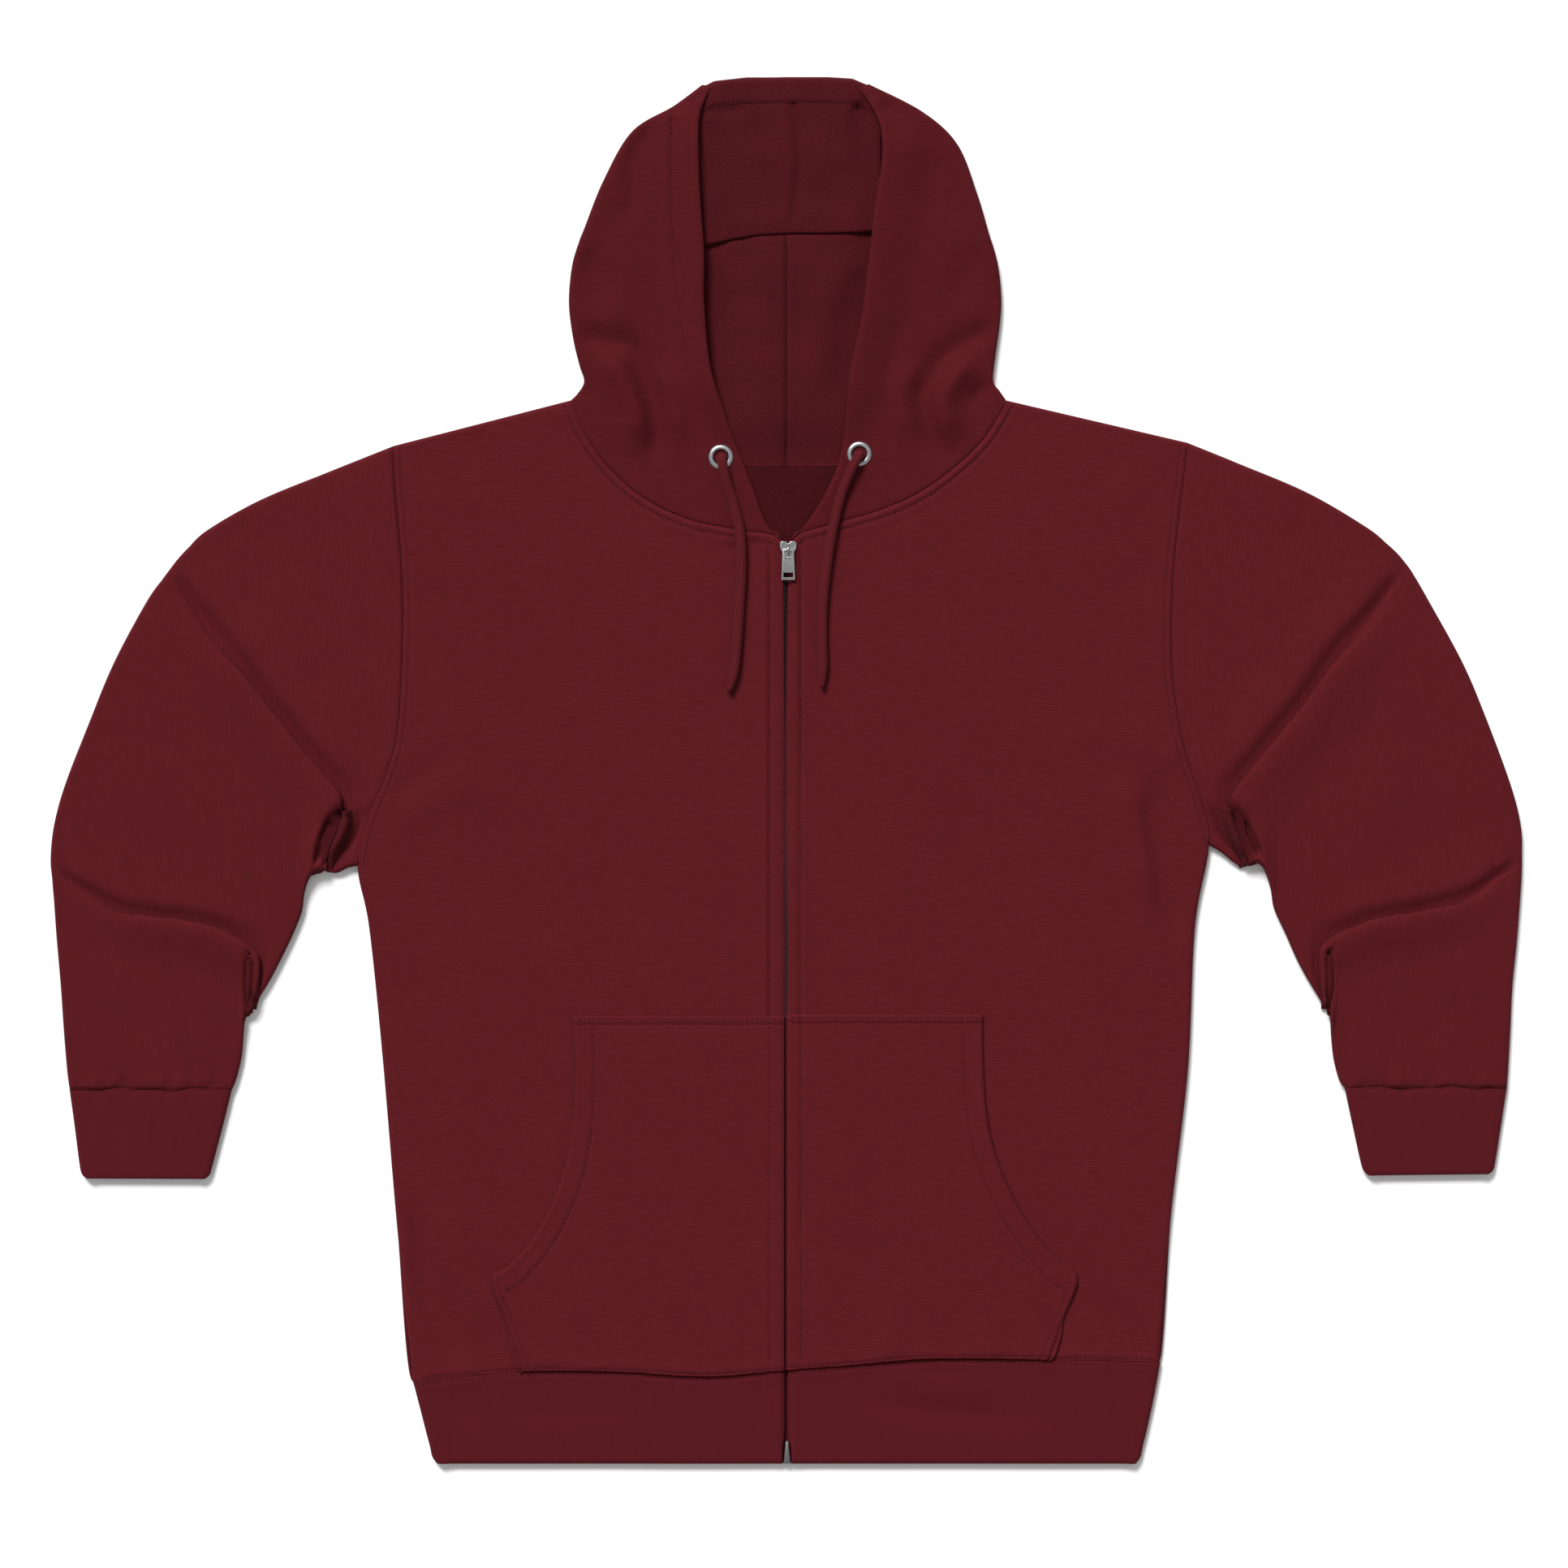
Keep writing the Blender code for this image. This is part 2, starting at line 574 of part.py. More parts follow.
def back(finish):
    """The back. Columns run out from the middle: 0-1 to each side, and 1-2 up the side's fold."""
    last = len(front_rows["right"]) - 1
    quarter = roll * math.pi / 2

    def top_y(side, x):
        shoulder, neck = front_rows[side][-1], front_rows[side][-1].inner_x * mm
        if x < neck:
            return back_neck_y(side, x) - seam_gap
        return mix(shoulder.inner_y, shoulder.outer_y, (x - neck) / (shoulder.outer_x * mm - neck)) * mm

    def place(column, row):
        side = "left" if column > 0 else "right"
        part, level = abs(column), min(row, last)
        outer = outer_of(side, level)
        distance = quarter * (2 - part) if part > 1 else quarter + (outer.x - roll) * (1 - part)
        inset, drop = rolled(distance)
        flat_inset = mix(seam_gap / 2, outer.x, distance / (quarter + outer.x - roll))
        inset, drop = mix(flat_inset, inset, folded(row)), drop * folded(row)
        x = sides[side] * (outer.x - inset)
        ends = [outer_of(name, level) for name in ("right", "left")]
        y = mix(ends[0].y, ends[1].y, (x + ends[0].x) / (ends[0].x + ends[1].x))
        tips = [front_rows[name][-1].outer_y * mm for name in ("right", "left")]
        shape = top_y(side, abs(x)) - mix(*tips, (x + ends[0].x) / (ends[0].x + ends[1].x))
        y += shape * smooth((level - shape_row) / (last - shape_row))
        y = mix(y, straight_hem_y(x) + seam_gap, smooth(1 - row))
        on_shoulder = smooth((abs(x) - front_rows[side][-1].inner_x * mm) / neck_end)
        if row >= last:
            distance = quarter * (last + 1 - row)
            inset, rise = rolled(distance)
            y -= mix(distance, inset, on_shoulder)
            drop = max(drop, rise * on_shoulder)
        return Vector((x, y, drop * edge_share))

    to_neck = (front_rows["right"][-1].inner_x * mm - roll) / outer_of("right", last).x
    half = steps(0, to_neck, lower_steps)[1:] + [to_neck + 0.03, 0.7, 0.85, 1] + down_fold
    columns = [-c for c in reversed(half)] + [0] + half
    rows = steps(0, 3, 3) + near_armpit + seam_rows("right")[:-2] + [last]
    rows += [last - 1 + part for part in down_fold]
    return sheet("back", place, columns, rows, finish, inside_out=True)


def ring_line(side, k):
    """A sleeve ring in plan, from its outer fold to its inner one. Ring 0 is the armhole."""
    if k == 0:
        last = len(front_rows[side]) - 1
        gap = Vector((seam_gap, 0))
        return [outer_of(side, row) + gap for row in steps(last, armpit_row, 48)]
    ring = sleeve_rings[side][k - 1]
    outer, inner = ends_of(ring)
    along = (inner - outer).normalized()
    towards_body = Vector((along.y, -along.x)) * ring.bow * mm
    return [mix(outer, inner, a) + towards_body * a**1.9 * (1 - a**3) for a in steps(0, 1, 48)]


def sleeve(side, finish):
    sign, count = sides[side], len(sleeve_rings[side])
    lines = [ring_line(side, k) for k in range(count + 1)]
    lengths = [length_of(line) for line in lines]

    def place(column, k):
        distance, level = around(column, lengths[k])
        spot = walk(lines[k], distance)
        x, y = sign * spot.x, spot.y
        if level <= 0:
            return Vector((x, y, roll * (1 + level)))
        lift = sleeve_rings[side][k - 1].lift * mm if k else 0
        rise = lift * smooth(distance / lengths[k] / lift_over) + relief(x, y)
        return Vector((x, y, roll + level * (roll + rise)))

    last = len(front_rows[side]) - 1
    armhole = [outer_of(side, row) for row in steps(last, armpit_row, 192)]
    seam = [outer_of(side, row) for row in reversed(seam_rows(side)[:-1])]
    over = [1] + [1 + (distance_to(armhole, spot) - roll) / (lengths[0] - 2 * roll) for spot in seam]
    under = [6 - c for c in reversed(over)]
    columns = [0, 0.5] + over + [2, 2.5, 3, 3.5, 4] + under + [5.5, 6]
    rows = range(count + 1)
    return sheet(f"sleeve_{side}", place, columns, rows, finish, inside_out=sign < 0, closed=True)


def cuff(side, finish):
    sign, table = sides[side], cuff_rings[side]

    def place(column, row):
        outer, inner = ends_of(at(table, row))
        length = (inner - outer).length
        distance, level = around(column, length)
        spot = mix(outer, inner, distance / length)
        return Vector((sign * spot.x, spot.y, roll * (1 + level)))

    columns = [0, 0.5] + steps(1, 2, 5) + [2.5, 3, 3.5] + steps(4, 5, 3) + [5.5, 6]
    return sheet(
        f"cuff_{side}", place, columns, range(len(table)), finish, rib, inside_out=sign < 0, closed=True
    )


def waistband(finish):
    """The hem band. Columns run out from the middle of the back: 0-1 below, 1-3 up the fold at the
    side, and 3-4 over the top to the zip."""

    def place(column, row):
        side = "left" if column > 0 else "right"
        part, band = abs(column), at(band_rows, row)
        width = (band.left_x if side == "left" else band.right_x) * mm
        end = (band.left_end if side == "left" else band.right_end) * mm
        if part <= 1:
            distance, level = width - (width - roll) * part, -1
        elif part < 3:
            turn = (part - 2) * math.pi / 2
            distance, level = roll * (1 - math.cos(turn)), math.sin(turn)
        else:
            distance, level = roll + (width - roll - end) * (part - 3), 1
        x = sides[side] * (width - distance)
        share = (x / mm + band.right_x) / (band.right_x + band.left_x)
        y = mix(band.right_y, band.left_y, share) * mm
        if row < 1:
            seam = mix(straight_hem_y(x), hem_y(x), (level + 1) / 2)
            y = mix(seam - seam_gap / 2, y, smooth(row))
        z = roll * (1 + level)
        if level > 0:
            z += relief(x, y) * level
        return Vector((x, y, z))

    half = steps(0, 1, 4)[1:] + [1.5, 2, 2.5] + steps(3, 4, 10)
    columns = [-c for c in reversed(half)] + [0] + half
    return sheet("waistband", place, columns, [0, 0.5, 1, 2, 3, 4, 5], finish, rib)


def hood(side, finish):
    """A hood half. Columns 0-1 run out on the lower layer, 1-3 up the fold, 3-4 over to the face."""
    sign, table = sides[side], hood_rows[side]
    last = len(front_rows[side]) - 1
    neck = [inner_of(side, row) for row in steps(last, neck_row, 48)]
    neck_length = length_of(neck)

    def place(column, row):
        line = at(table, row)
        fold, edge = Vector((line.fold_x, line.fold_y)) * mm, Vector((line.edge_x, line.edge_y)) * mm
        length = (edge - fold).length
        turn = (min(max(column, 1), 3) - 2) * math.pi / 2
        inset, level = roll * (1 - math.cos(turn)), math.sin(turn)
        if column <= 2:
            x = fold.x - inset if column > 1 else mix(seam_gap / 2, fold.x - roll, column)
            y = mix(line.centre_y * mm, fold.y, neck_bend(x, fold.x)) + seam_gap / 2 * smooth(1 - row)
            z = roll * (1 + level)
            return Vector((sign * x, y, z))
        distance = inset + (length - roll) * max(column - 3, 0)
        share = distance / length
        start, end = neck[0], neck[-1]
        bow = walk(neck, neck_length * share) - mix(start, end, share)
        spot = mix(fold, edge, share) + bow * max(1 - row / 4, 0) ** 2
        spot.y += seam_gap / 2 * smooth(1 - row)
        x, y = sign * spot.x, spot.y
        return Vector((x, y, roll + level * (roll + relief(x, y))))

    seam = [inner_of(side, row) for row in reversed(seam_rows(side)[:-1]) if row >= neck_row]
    over = [3 + (distance_to(neck, spot) - roll) / (neck_length - roll) for spot in seam]
    columns = steps(0, 1, lower_steps) + [1.5, 2, 2.5, 3] + over
    rows = [0, 0.5, 1, 1.5, 2, 2.5, 3, 3.5, 4, 4.5, 5, 5.5, 6, 7, 8, 8.5, 9, 9.5, 10, 11, 12]

    def in_crown(column, row):
        return row >= crown_row and column <= crown_reach

    return sheet(
        f"hood_{side}", place, columns, rows, finish, crown_layers, inside_out=sign > 0, double=in_crown
    )


def pocket(side, finish):
    """A pocket patch, on its front's own surface moved out."""
    sign, table = sides[side], pocket_rows[side]
    last = len(table) - 1

    def place(column, row):
        edge = at(table, row)
        x = sign * mix(pocket_inner, edge.x * mm, column)
        y = mix(edge.y * mm, hem_y(x) + 1.5 * seam_gap, smooth(row - last + 1))
        return Vector((x, y, flat_height + relief(x, y) + pocket_gap + cloth))

    columns, rows = steps(0, 1, pocket_columns), steps(0, last, pocket_levels)
    return sheet(f"pocket_{side}", place, columns, rows, finish, inside_out=sign > 0)


def zip_tape(side, finish):
    work = bmesh.new()
    bmesh.ops.create_cube(work, size=1)
    bmesh.ops.scale(work, vec=(tape_width, tape_top - tape_foot, tape_thickness), verts=work.verts)
    made = finished(f"zip_tape_{side}", work, finish)
    under_front = flat_height - cloth - rest_gap - tape_thickness / 2
    made.location = (
        sides[side] * (zip_edge + tape_width / 2),
        (tape_top + tape_foot) / 2,
        under_front,
    )
    return made


def block(name, size, top_share, finish, bevel):
    """A box whose +Y end is narrower."""
    work = bmesh.new()
    bmesh.ops.create_cube(work, size=1)
    bmesh.ops.scale(work, vec=size, verts=work.verts)
    for vertex in work.verts:
        if vertex.co.y > 0:
            vertex.co.x *= top_share
    made = finished(name, work, finish)
    edge = made.modifiers.new("Rounded edges", "BEVEL")
    edge.width = bevel
    edge.segments = 2
    return made


def tube(name, points, size, finish, sides_level=2):
    data = bpy.data.curves.new(name, "CURVE")
    data.dimensions = "3D"
    data.bevel_depth = size / 2
    data.bevel_resolution = sides_level
    data.use_fill_caps = True
    spline = data.splines.new("POLY")
    spline.points.add(len(points) - 1)
    for point, place in zip(spline.points, points):
        point.co = (*place, 1)
    made = bpy.data.objects.new(name, data)
    made.data.materials.append(finish)
    hoodie.objects.link(made)
    return made


def drawcord(side, finish):
    route = cord_routes[side]
    spots = [Vector(at(route, t)) * mm for t in steps(0, len(route) - 1, 30)]
    return tube(f"drawcord_{side}", spots, cord_size, finish)


def eyelet(side, finish):
    """A turned ring, domed on top."""
    width = (eyelet_outer - eyelet_inner) / 2
    middle = (eyelet_outer + eyelet_inner) / 2
    work = bmesh.new()
    profile = []
    for turn in steps(0, math.pi, 5):
        spot = (middle + width * math.cos(turn), 0, eyelet_height * math.sin(turn))
        profile.append(work.verts.new(spot))
    for here, there in zip(profile, profile[1:] + profile[:1]):
        work.edges.new((here, there))
    bmesh.ops.spin(
        work,
        geom=work.verts[:] + work.edges[:],
        cent=(0, 0, 0),
        axis=(0, 0, 1),
        angle=2 * math.pi,
        steps=24,
        use_merge=True,
    )
    bmesh.ops.recalc_face_normals(work, faces=work.faces)
    made = finished(f"eyelet_{side}", work, finish)
    made.location = (eyelets[side].x * mm, eyelets[side].y * mm, flat_height + rest_gap)
    return made


def slider(finish):
    made = block("zip_slider", slider_size, 1.0, finish, 0.7 * mm)
    made.location = slider_centre + Vector((0, 0, slider_floor + slider_size.z / 2))
    return made


def bail(finish):
    foot = slider_floor + slider_size.z + rest_gap
    points = []
    for turn in steps(0, math.pi, 12):
        y = slider_centre.y + bail_reach * math.cos(turn)
        points.append((slider_centre.x, y, foot + bail_height * math.sin(turn)))
    return tube("zip_slider_bail", points, 2 * bail_wire, finish)


def cutter(name, centre, size):
    work = bmesh.new()
    bmesh.ops.create_cube(work, size=1)
    bmesh.ops.scale(work, vec=size, verts=work.verts)
    bmesh.ops.translate(work, vec=centre, verts=work.verts)
    mesh = bpy.data.meshes.new(name)
    work.to_mesh(mesh)
    work.free()
    made = bpy.data.objects.new(name, mesh)
    made.hide_render = True
    made.display_type = "WIRE"
    cutters.objects.link(made)
    return made


def pull_tab(finish):
    """The tab, with its origin on the line it turns about; it lies towards the hem."""
    work = bmesh.new()
    bmesh.ops.create_cube(work, size=1)
    whole = tab_length + tab_bar / 2
    bmesh.ops.scale(work, vec=(tab_width, whole, tab_thickness), verts=work.verts)
    bmesh.ops.translate(work, vec=(0, tab_bar / 2 - whole / 2, 0), verts=work.verts)
    for vertex in work.verts:
        if vertex.co.y > 0:
            vertex.co.x *= tab_narrowing
    made = finished("zip_pull_tab", work, finish)
    edge = made.modifiers.new("Rounded edges", "BEVEL")
    edge.width = 0.35 * mm
    edge.segments = 2
    holes = (
        cutter("tab_eye", (0, -(tab_bar / 2 + tab_eye.y / 2), 0), (tab_eye.x, tab_eye.y, 4 * mm)),
        cutter("tab_slot", (0, -tab_slot_at, 0), (tab_slot.x, tab_slot.y, 4 * mm)),
    )
    for hole in holes:
        cut = made.modifiers.new(hole.name, "BOOLEAN")
        cut.operation = "DIFFERENCE"
        cut.object = hole
    for item in (made, *holes):
        item.location = pivot
        item.rotation_euler = (tab_slope, 0, 0)
    return made


def retainer_box(finish):
    made = block("zip_retainer_box", box_size, 0.4, finish, 0.3 * mm)
    made.location = box_centre
    return made


clear_scene()
hoodie = new_collection("zip_up_hoodie")
cutters = new_collection("cutters")

fleece = material("fleece", maroon, 0.9, 0)
fleece_inside = material("fleece_hood", deep_maroon, 0.9, 0)
rib_knit = material("rib_knit", deep_maroon, 0.9, 0)
cord_braid = material("cord_braid", maroon, 0.85, 0)
tape_weave = material("tape_weave", deep_maroon, 0.8, 0)
bright_metal = material("bright_metal", silver, 0.25, 1)
grey_metal = material("grey_metal", steel, 0.35, 1)

back(fleece)
waistband(rib_knit)
for side in sides:
    front(side, fleece)
    sleeve(side, fleece)
    cuff(side, rib_knit)
    hood(side, fleece_inside)
    pocket(side, fleece)
    zip_tape(side, tape_weave)
    eyelet(side, bright_metal)
    drawcord(side, cord_braid)
slider(bright_metal)
bail(bright_metal)
pull_tab(bright_metal)
retainer_box(grey_metal)
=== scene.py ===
import json

import bmesh
import bpy
import numpy as np
from mathutils import Matrix, Vector
from mathutils.bvhtree import BVHTree

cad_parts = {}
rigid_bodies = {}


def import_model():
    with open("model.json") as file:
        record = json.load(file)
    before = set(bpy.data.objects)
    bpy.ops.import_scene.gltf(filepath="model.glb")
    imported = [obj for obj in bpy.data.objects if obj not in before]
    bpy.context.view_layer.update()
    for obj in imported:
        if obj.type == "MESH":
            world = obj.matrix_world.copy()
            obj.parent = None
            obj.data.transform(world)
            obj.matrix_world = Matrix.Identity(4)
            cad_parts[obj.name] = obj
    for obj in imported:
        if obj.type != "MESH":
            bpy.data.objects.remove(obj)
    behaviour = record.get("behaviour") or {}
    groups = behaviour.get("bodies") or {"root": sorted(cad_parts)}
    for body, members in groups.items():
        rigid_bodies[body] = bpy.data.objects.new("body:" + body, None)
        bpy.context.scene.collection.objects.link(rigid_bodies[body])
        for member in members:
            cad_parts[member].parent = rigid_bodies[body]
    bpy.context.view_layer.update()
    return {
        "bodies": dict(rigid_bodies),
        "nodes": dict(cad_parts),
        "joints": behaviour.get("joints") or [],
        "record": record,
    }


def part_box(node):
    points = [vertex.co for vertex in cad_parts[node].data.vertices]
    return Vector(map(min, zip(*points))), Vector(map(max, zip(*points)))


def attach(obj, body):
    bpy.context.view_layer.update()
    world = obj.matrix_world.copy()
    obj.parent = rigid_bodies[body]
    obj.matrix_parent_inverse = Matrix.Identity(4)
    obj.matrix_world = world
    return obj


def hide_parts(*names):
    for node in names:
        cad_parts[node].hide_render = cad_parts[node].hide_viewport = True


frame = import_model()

# A zip-up hoodie laid flat on its back. Tables and sizes are in millimetres, meshes in metres.
# Right is the wearer's right, at -X.
sides = {"right": -1, "left": 1}
mm = 0.001


def smooth(t):
    t = np.clip(t, 0, 1)
    return t * t * (3 - 2 * t)


def mix(a, b, t):
    return a + (b - a) * t


def bell(t):
    return np.exp(-(t**2))


def steps(first, last, count):
    return np.linspace(first, last, count + 1)


def stepped(marks, counts):  # this many even steps from each mark to the next
    parts = [steps(a, b, count)[1:] for a, b, count in zip(marks, marks[1:], counts)]
    return np.concatenate([marks[:1], *parts])


def stacked(*parts):
    return np.stack(parts, -1)


def curveAt(rows, t):  # a smooth curve through the rows of a table, at row t
    rows, t = np.asarray(rows, float), np.asarray(t, float)
    i = np.clip(t.astype(int), 0, len(rows) - 2)
    f = (t - i)[..., None]
    a, b, c, d = (rows[np.clip(i + k, 0, len(rows) - 1)] for k in (-1, 0, 1, 2))
    return b + 0.5 * f * (c - a + f * (2 * a - 5 * b + 4 * c - d + f * (3 * (b - c) + d - a)))


def curveOver(rows, count, first=0, last=None):
    return curveAt(rows, np.linspace(first, len(rows) - 1 if last is None else last, count))


def travelled(points):  # distance from the first point, at each point of a line
    return np.concatenate([[0], np.cumsum(np.linalg.norm(np.diff(points, axis=0), axis=1))])


def readAt(at, far, points):
    return stacked(*(np.interp(at, far, column) for column in points.T))


def evenLine(line, spacing=3.0, bent=True):  # the line, with points at even distances
    fine = curveOver(line, 24 * (len(line) - 1) + 1) if bent else np.asarray(line, float)
    far = travelled(fine)
    return readAt(steps(0, far[-1], max(int(round(far[-1] / spacing)), 2)), far, fine)


def evenRows(table, spacing):  # rows of a table, about one spacing apart
    fine = steps(0, len(table) - 1, 40 * (len(table) - 1))
    far = travelled(curveAt(table, fine))
    return np.interp(steps(0, far[-1], int(np.ceil(far[-1] / spacing))), far, fine)


def unit(ways):
    return ways / np.linalg.norm(ways, axis=1)[:, None]


def toRight(ways):
    return stacked(ways[:, 1], -ways[:, 0])


def within(x, y, line, reach=0):
    low, high = line.min(0) - reach, line.max(0) + reach
    return np.nonzero((x > low[0]) & (x < high[0]) & (y > low[1]) & (y < high[1]))[0]


def nearLine(x, y, line, reach, bent=True, batch=20000):
    # Which points are near a line, how far to its right and how far along it, and its length.
    q = evenLine(line, 3.0, bent)
    near = within(x, y, q, reach)
    tangent = unit(np.gradient(q, axis=0))
    away, along = np.empty(len(near)), np.empty(len(near))
    step = np.linalg.norm(q[1] - q[0])
    for start in range(0, len(near), batch):
        part = slice(start, start + batch)
        gap = stacked(x[near[part]], y[near[part]])[:, None, :] - q[None]
        k = (gap**2).sum(-1).argmin(1)
        gap = gap[np.arange(len(k)), k]
        away[part] = gap[:, 0] * tangent[k, 1] - gap[:, 1] * tangent[k, 0]
        along[part] = k * step + (gap * tangent[k]).sum(-1)
    return near, away, along, step * (len(q) - 1)


def offsetLine(line, away):  # the line, moved to its right
    line = evenLine(line, 1.0)
    return line + toRight(unit(np.gradient(line, axis=0))) * away


# How far creases move the cloth. A fold is a line, its height, its width on its right and on its left,
# and the shares of its length over which it fades in and out.
def creased(x, y, folds):
    z = np.zeros_like(x)
    for line, height, right, left, fadeIn, fadeOut in folds:
        near, away, along, length = nearLine(x, y, line, 3 * max(right, left))
        share = along / length
        fade = smooth(share / max(fadeIn, 0.01)) * smooth((1 - share) / max(fadeOut, 0.01))
        z[near] += height * bell(away / np.where(away > 0, right, left)) * fade
    return z


# The dip, ridge and stitch line along a seam. A profile is distances from the seam, and heights.
def seamed(x, y, line, profile, pucker=0.0, bent=False):
    z = np.zeros_like(x)
    distances, heights = profile
    near, away, along, length = nearLine(x, y, line, max(distances) + 1, bent)
    away = abs(away)
    ripple = np.sin(along / 1.7 + 1.3) * 0.5 + np.sin(along / 2.9) * 0.6 + np.sin(along / 6.1 + 2) * 0.5
    inside = (along > -2) & (along < length + 2)
    z[near] = np.interp(away, distances, heights, right=0) * inside
    z[near] += pucker * ripple * bell(away / 6) * smooth(away / 1.5) * inside
    return z


def runningMean(values, span):
    padded = np.concatenate([np.full(span, values[0]), values, np.full(span, values[-1])])
    return np.convolve(padded, np.ones(2 * span + 1) / (2 * span + 1), "valid")


def rolled(distance, radius):  # a fold's inset and drop, this far round it from the middle of its edge
    turn = np.minimum(distance / radius, np.pi / 2)
    past = np.maximum(distance - radius * np.pi / 2, 0)
    return radius * (1 - np.cos(turn)) + past, radius * (1 - np.sin(turn))


def named(word, side):
    return word + side.capitalize()


def dressed(piece, node=None, body="garment"):
    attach(piece, body)
    if node:
        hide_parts(node)
    return piece


def linked(name, mesh, finishes):
    for finish in finishes:
        mesh.materials.append(finish)
    mesh.polygons.foreach_set("use_smooth", np.ones(len(mesh.polygons), bool))
    made = bpy.data.objects.new(name, mesh)
    bpy.context.scene.collection.objects.link(made)
    return made


def meshOf(name, work):
    mesh = bpy.data.meshes.new(name)
    work.to_mesh(mesh)
    work.free()
    return mesh


def readout(part, key, size, kind):
    values = np.empty(len(part) * size, kind)
    part.foreach_get(key, values)
    return values


# A grid bent so that place(column, row) gives x, y, z and the cloth's own u, v at its crossings.
def gridPiece(name, node, columns, rows, place, finishes, wall=0, closed=False, flip=False, side=None):
    if side:
        name, node = named(name, side), f"{node or name}_{side}"
    work = bmesh.new()
    bmesh.ops.create_grid(work, x_segments=len(columns) - 1, y_segments=len(rows) - 1, size=1)
    mesh = meshOf(name, work)
    flat = readout(mesh.vertices, "co", 3, np.float32)
    i, j = (np.rint((flat[k::3] + 1) / 2 * (len(marks) - 1)).astype(int) for k, marks in ((0, columns), (1, rows)))
    x, y, z, u, v = place(np.asarray(columns, float)[i], np.asarray(rows, float)[j])
    mesh.vertices.foreach_set("co", (stacked(x, y, z) * mm).astype(np.float32).ravel())
    corners = readout(mesh.loops, "vertex_index", 1, np.int32)
    cut = mesh.uv_layers.new(name="cut")
    cut.data.foreach_set("uv", (stacked(u, v)[corners] * mm).astype(np.float32).ravel())
    work = bmesh.new()
    work.from_mesh(mesh)
    if closed:
        bmesh.ops.remove_doubles(work, verts=work.verts, dist=0.004 * mm)
    if flip:
        bmesh.ops.reverse_faces(work, faces=work.faces)
    work.to_mesh(mesh)
    work.free()
    made = linked(name, mesh, finishes)
    if wall:
        solid = made.modifiers.new("Wall", "SOLIDIFY")
        solid.thickness, solid.offset = wall * mm, -1
        solid.material_offset = len(finishes) - 1  # a second finish is the cloth's inside
    return dressed(made, node)


# Copies of a small bmesh shape, joined as one piece. frames is one 4 x 4 matrix for each.
def repeated(name, shape, frames, finish):
    seed = meshOf("seed", shape)
    points = np.array([vertex.co for vertex in seed.vertices])
    frames = np.asarray(frames, float)
    placed = np.einsum("nij,mj->nmi", frames[:, :3, :3], points) + frames[:, None, :3, 3]
    faces = [list(face.vertices) for face in seed.polygons]
    bpy.data.meshes.remove(seed)
    mesh = bpy.data.meshes.new(name)
    every = [[k + n * len(points) for k in face] for n in range(len(frames)) for face in faces]
    mesh.from_pydata(placed.reshape(-1, 3).tolist(), [], every)
    return dressed(linked(name, mesh, [finish]))


view = {"centre": (-1.5, -9.2), "height": 2902.0, "lens": 100.0, "sensor": 36.0}
light = {"sunPower": 3.86, "sunSpread": 22.0, "sunFrom": (-1000, 2350, 2350), "sky": 0.45}
floorLook = {"size": 4, "drop": 0.5, "colour": (0.95, 0.95, 0.95, 1), "roughness": 0.95, "shine": 0.1}


def inScene(name, data, spot):
    made = bpy.data.objects.new(name, data)
    made.location = Vector(spot) * mm
    bpy.context.scene.collection.objects.link(made)
    return made


def setCamera():
    data = bpy.data.cameras.new("camera")
    data.lens, data.sensor_width = view["lens"], view["sensor"]
    data.clip_start, data.clip_end = 0.1, 20
    bpy.context.scene.camera = inScene("camera", data, (*view["centre"], view["height"]))


def setLights():
    data = bpy.data.lights.new("softKey", "SUN")
    data.energy, data.angle = light["sunPower"], np.radians(light["sunSpread"])
    lamp = inScene("softKey", data, light["sunFrom"])
    lamp.rotation_euler = (-lamp.location).to_track_quat("-Z", "Y").to_euler()
    world = bpy.data.worlds.new("studio")
    world.use_nodes = True
    sky = world.node_tree.nodes["Background"]
    sky.inputs["Color"].default_value = (1, 1, 1, 1)
    sky.inputs["Strength"].default_value = light["sky"]
    bpy.context.scene.world = world
    bpy.context.scene.view_settings.view_transform = "Standard"


def setFloor():
    work = bmesh.new()
    bmesh.ops.create_grid(work, x_segments=2, y_segments=2, size=floorLook["size"])
    bmesh.ops.translate(work, vec=(0, 0, -floorLook["drop"] * mm), verts=work.verts)
    paper = bpy.data.materials.new("paleFloor")
    paper.use_nodes = True
    shader = paper.node_tree.nodes["Principled BSDF"]
    shader.inputs["Base Color"].default_value = floorLook["colour"]
    shader.inputs["Roughness"].default_value = floorLook["roughness"]
    shader.inputs["Specular IOR Level"].default_value = floorLook["shine"]
    linked("floor", meshOf("floor", work), [paper])


setCamera()
setLights()
setFloor()
print("camera, lights and floor set")


def colourOf(node):
    return node.outputs[2 if node.bl_idname == "ShaderNodeMix" else 0]


def valueOf(node):
    return node.outputs["Value" if node.bl_idname == "ShaderNodeMath" else "Fac"]


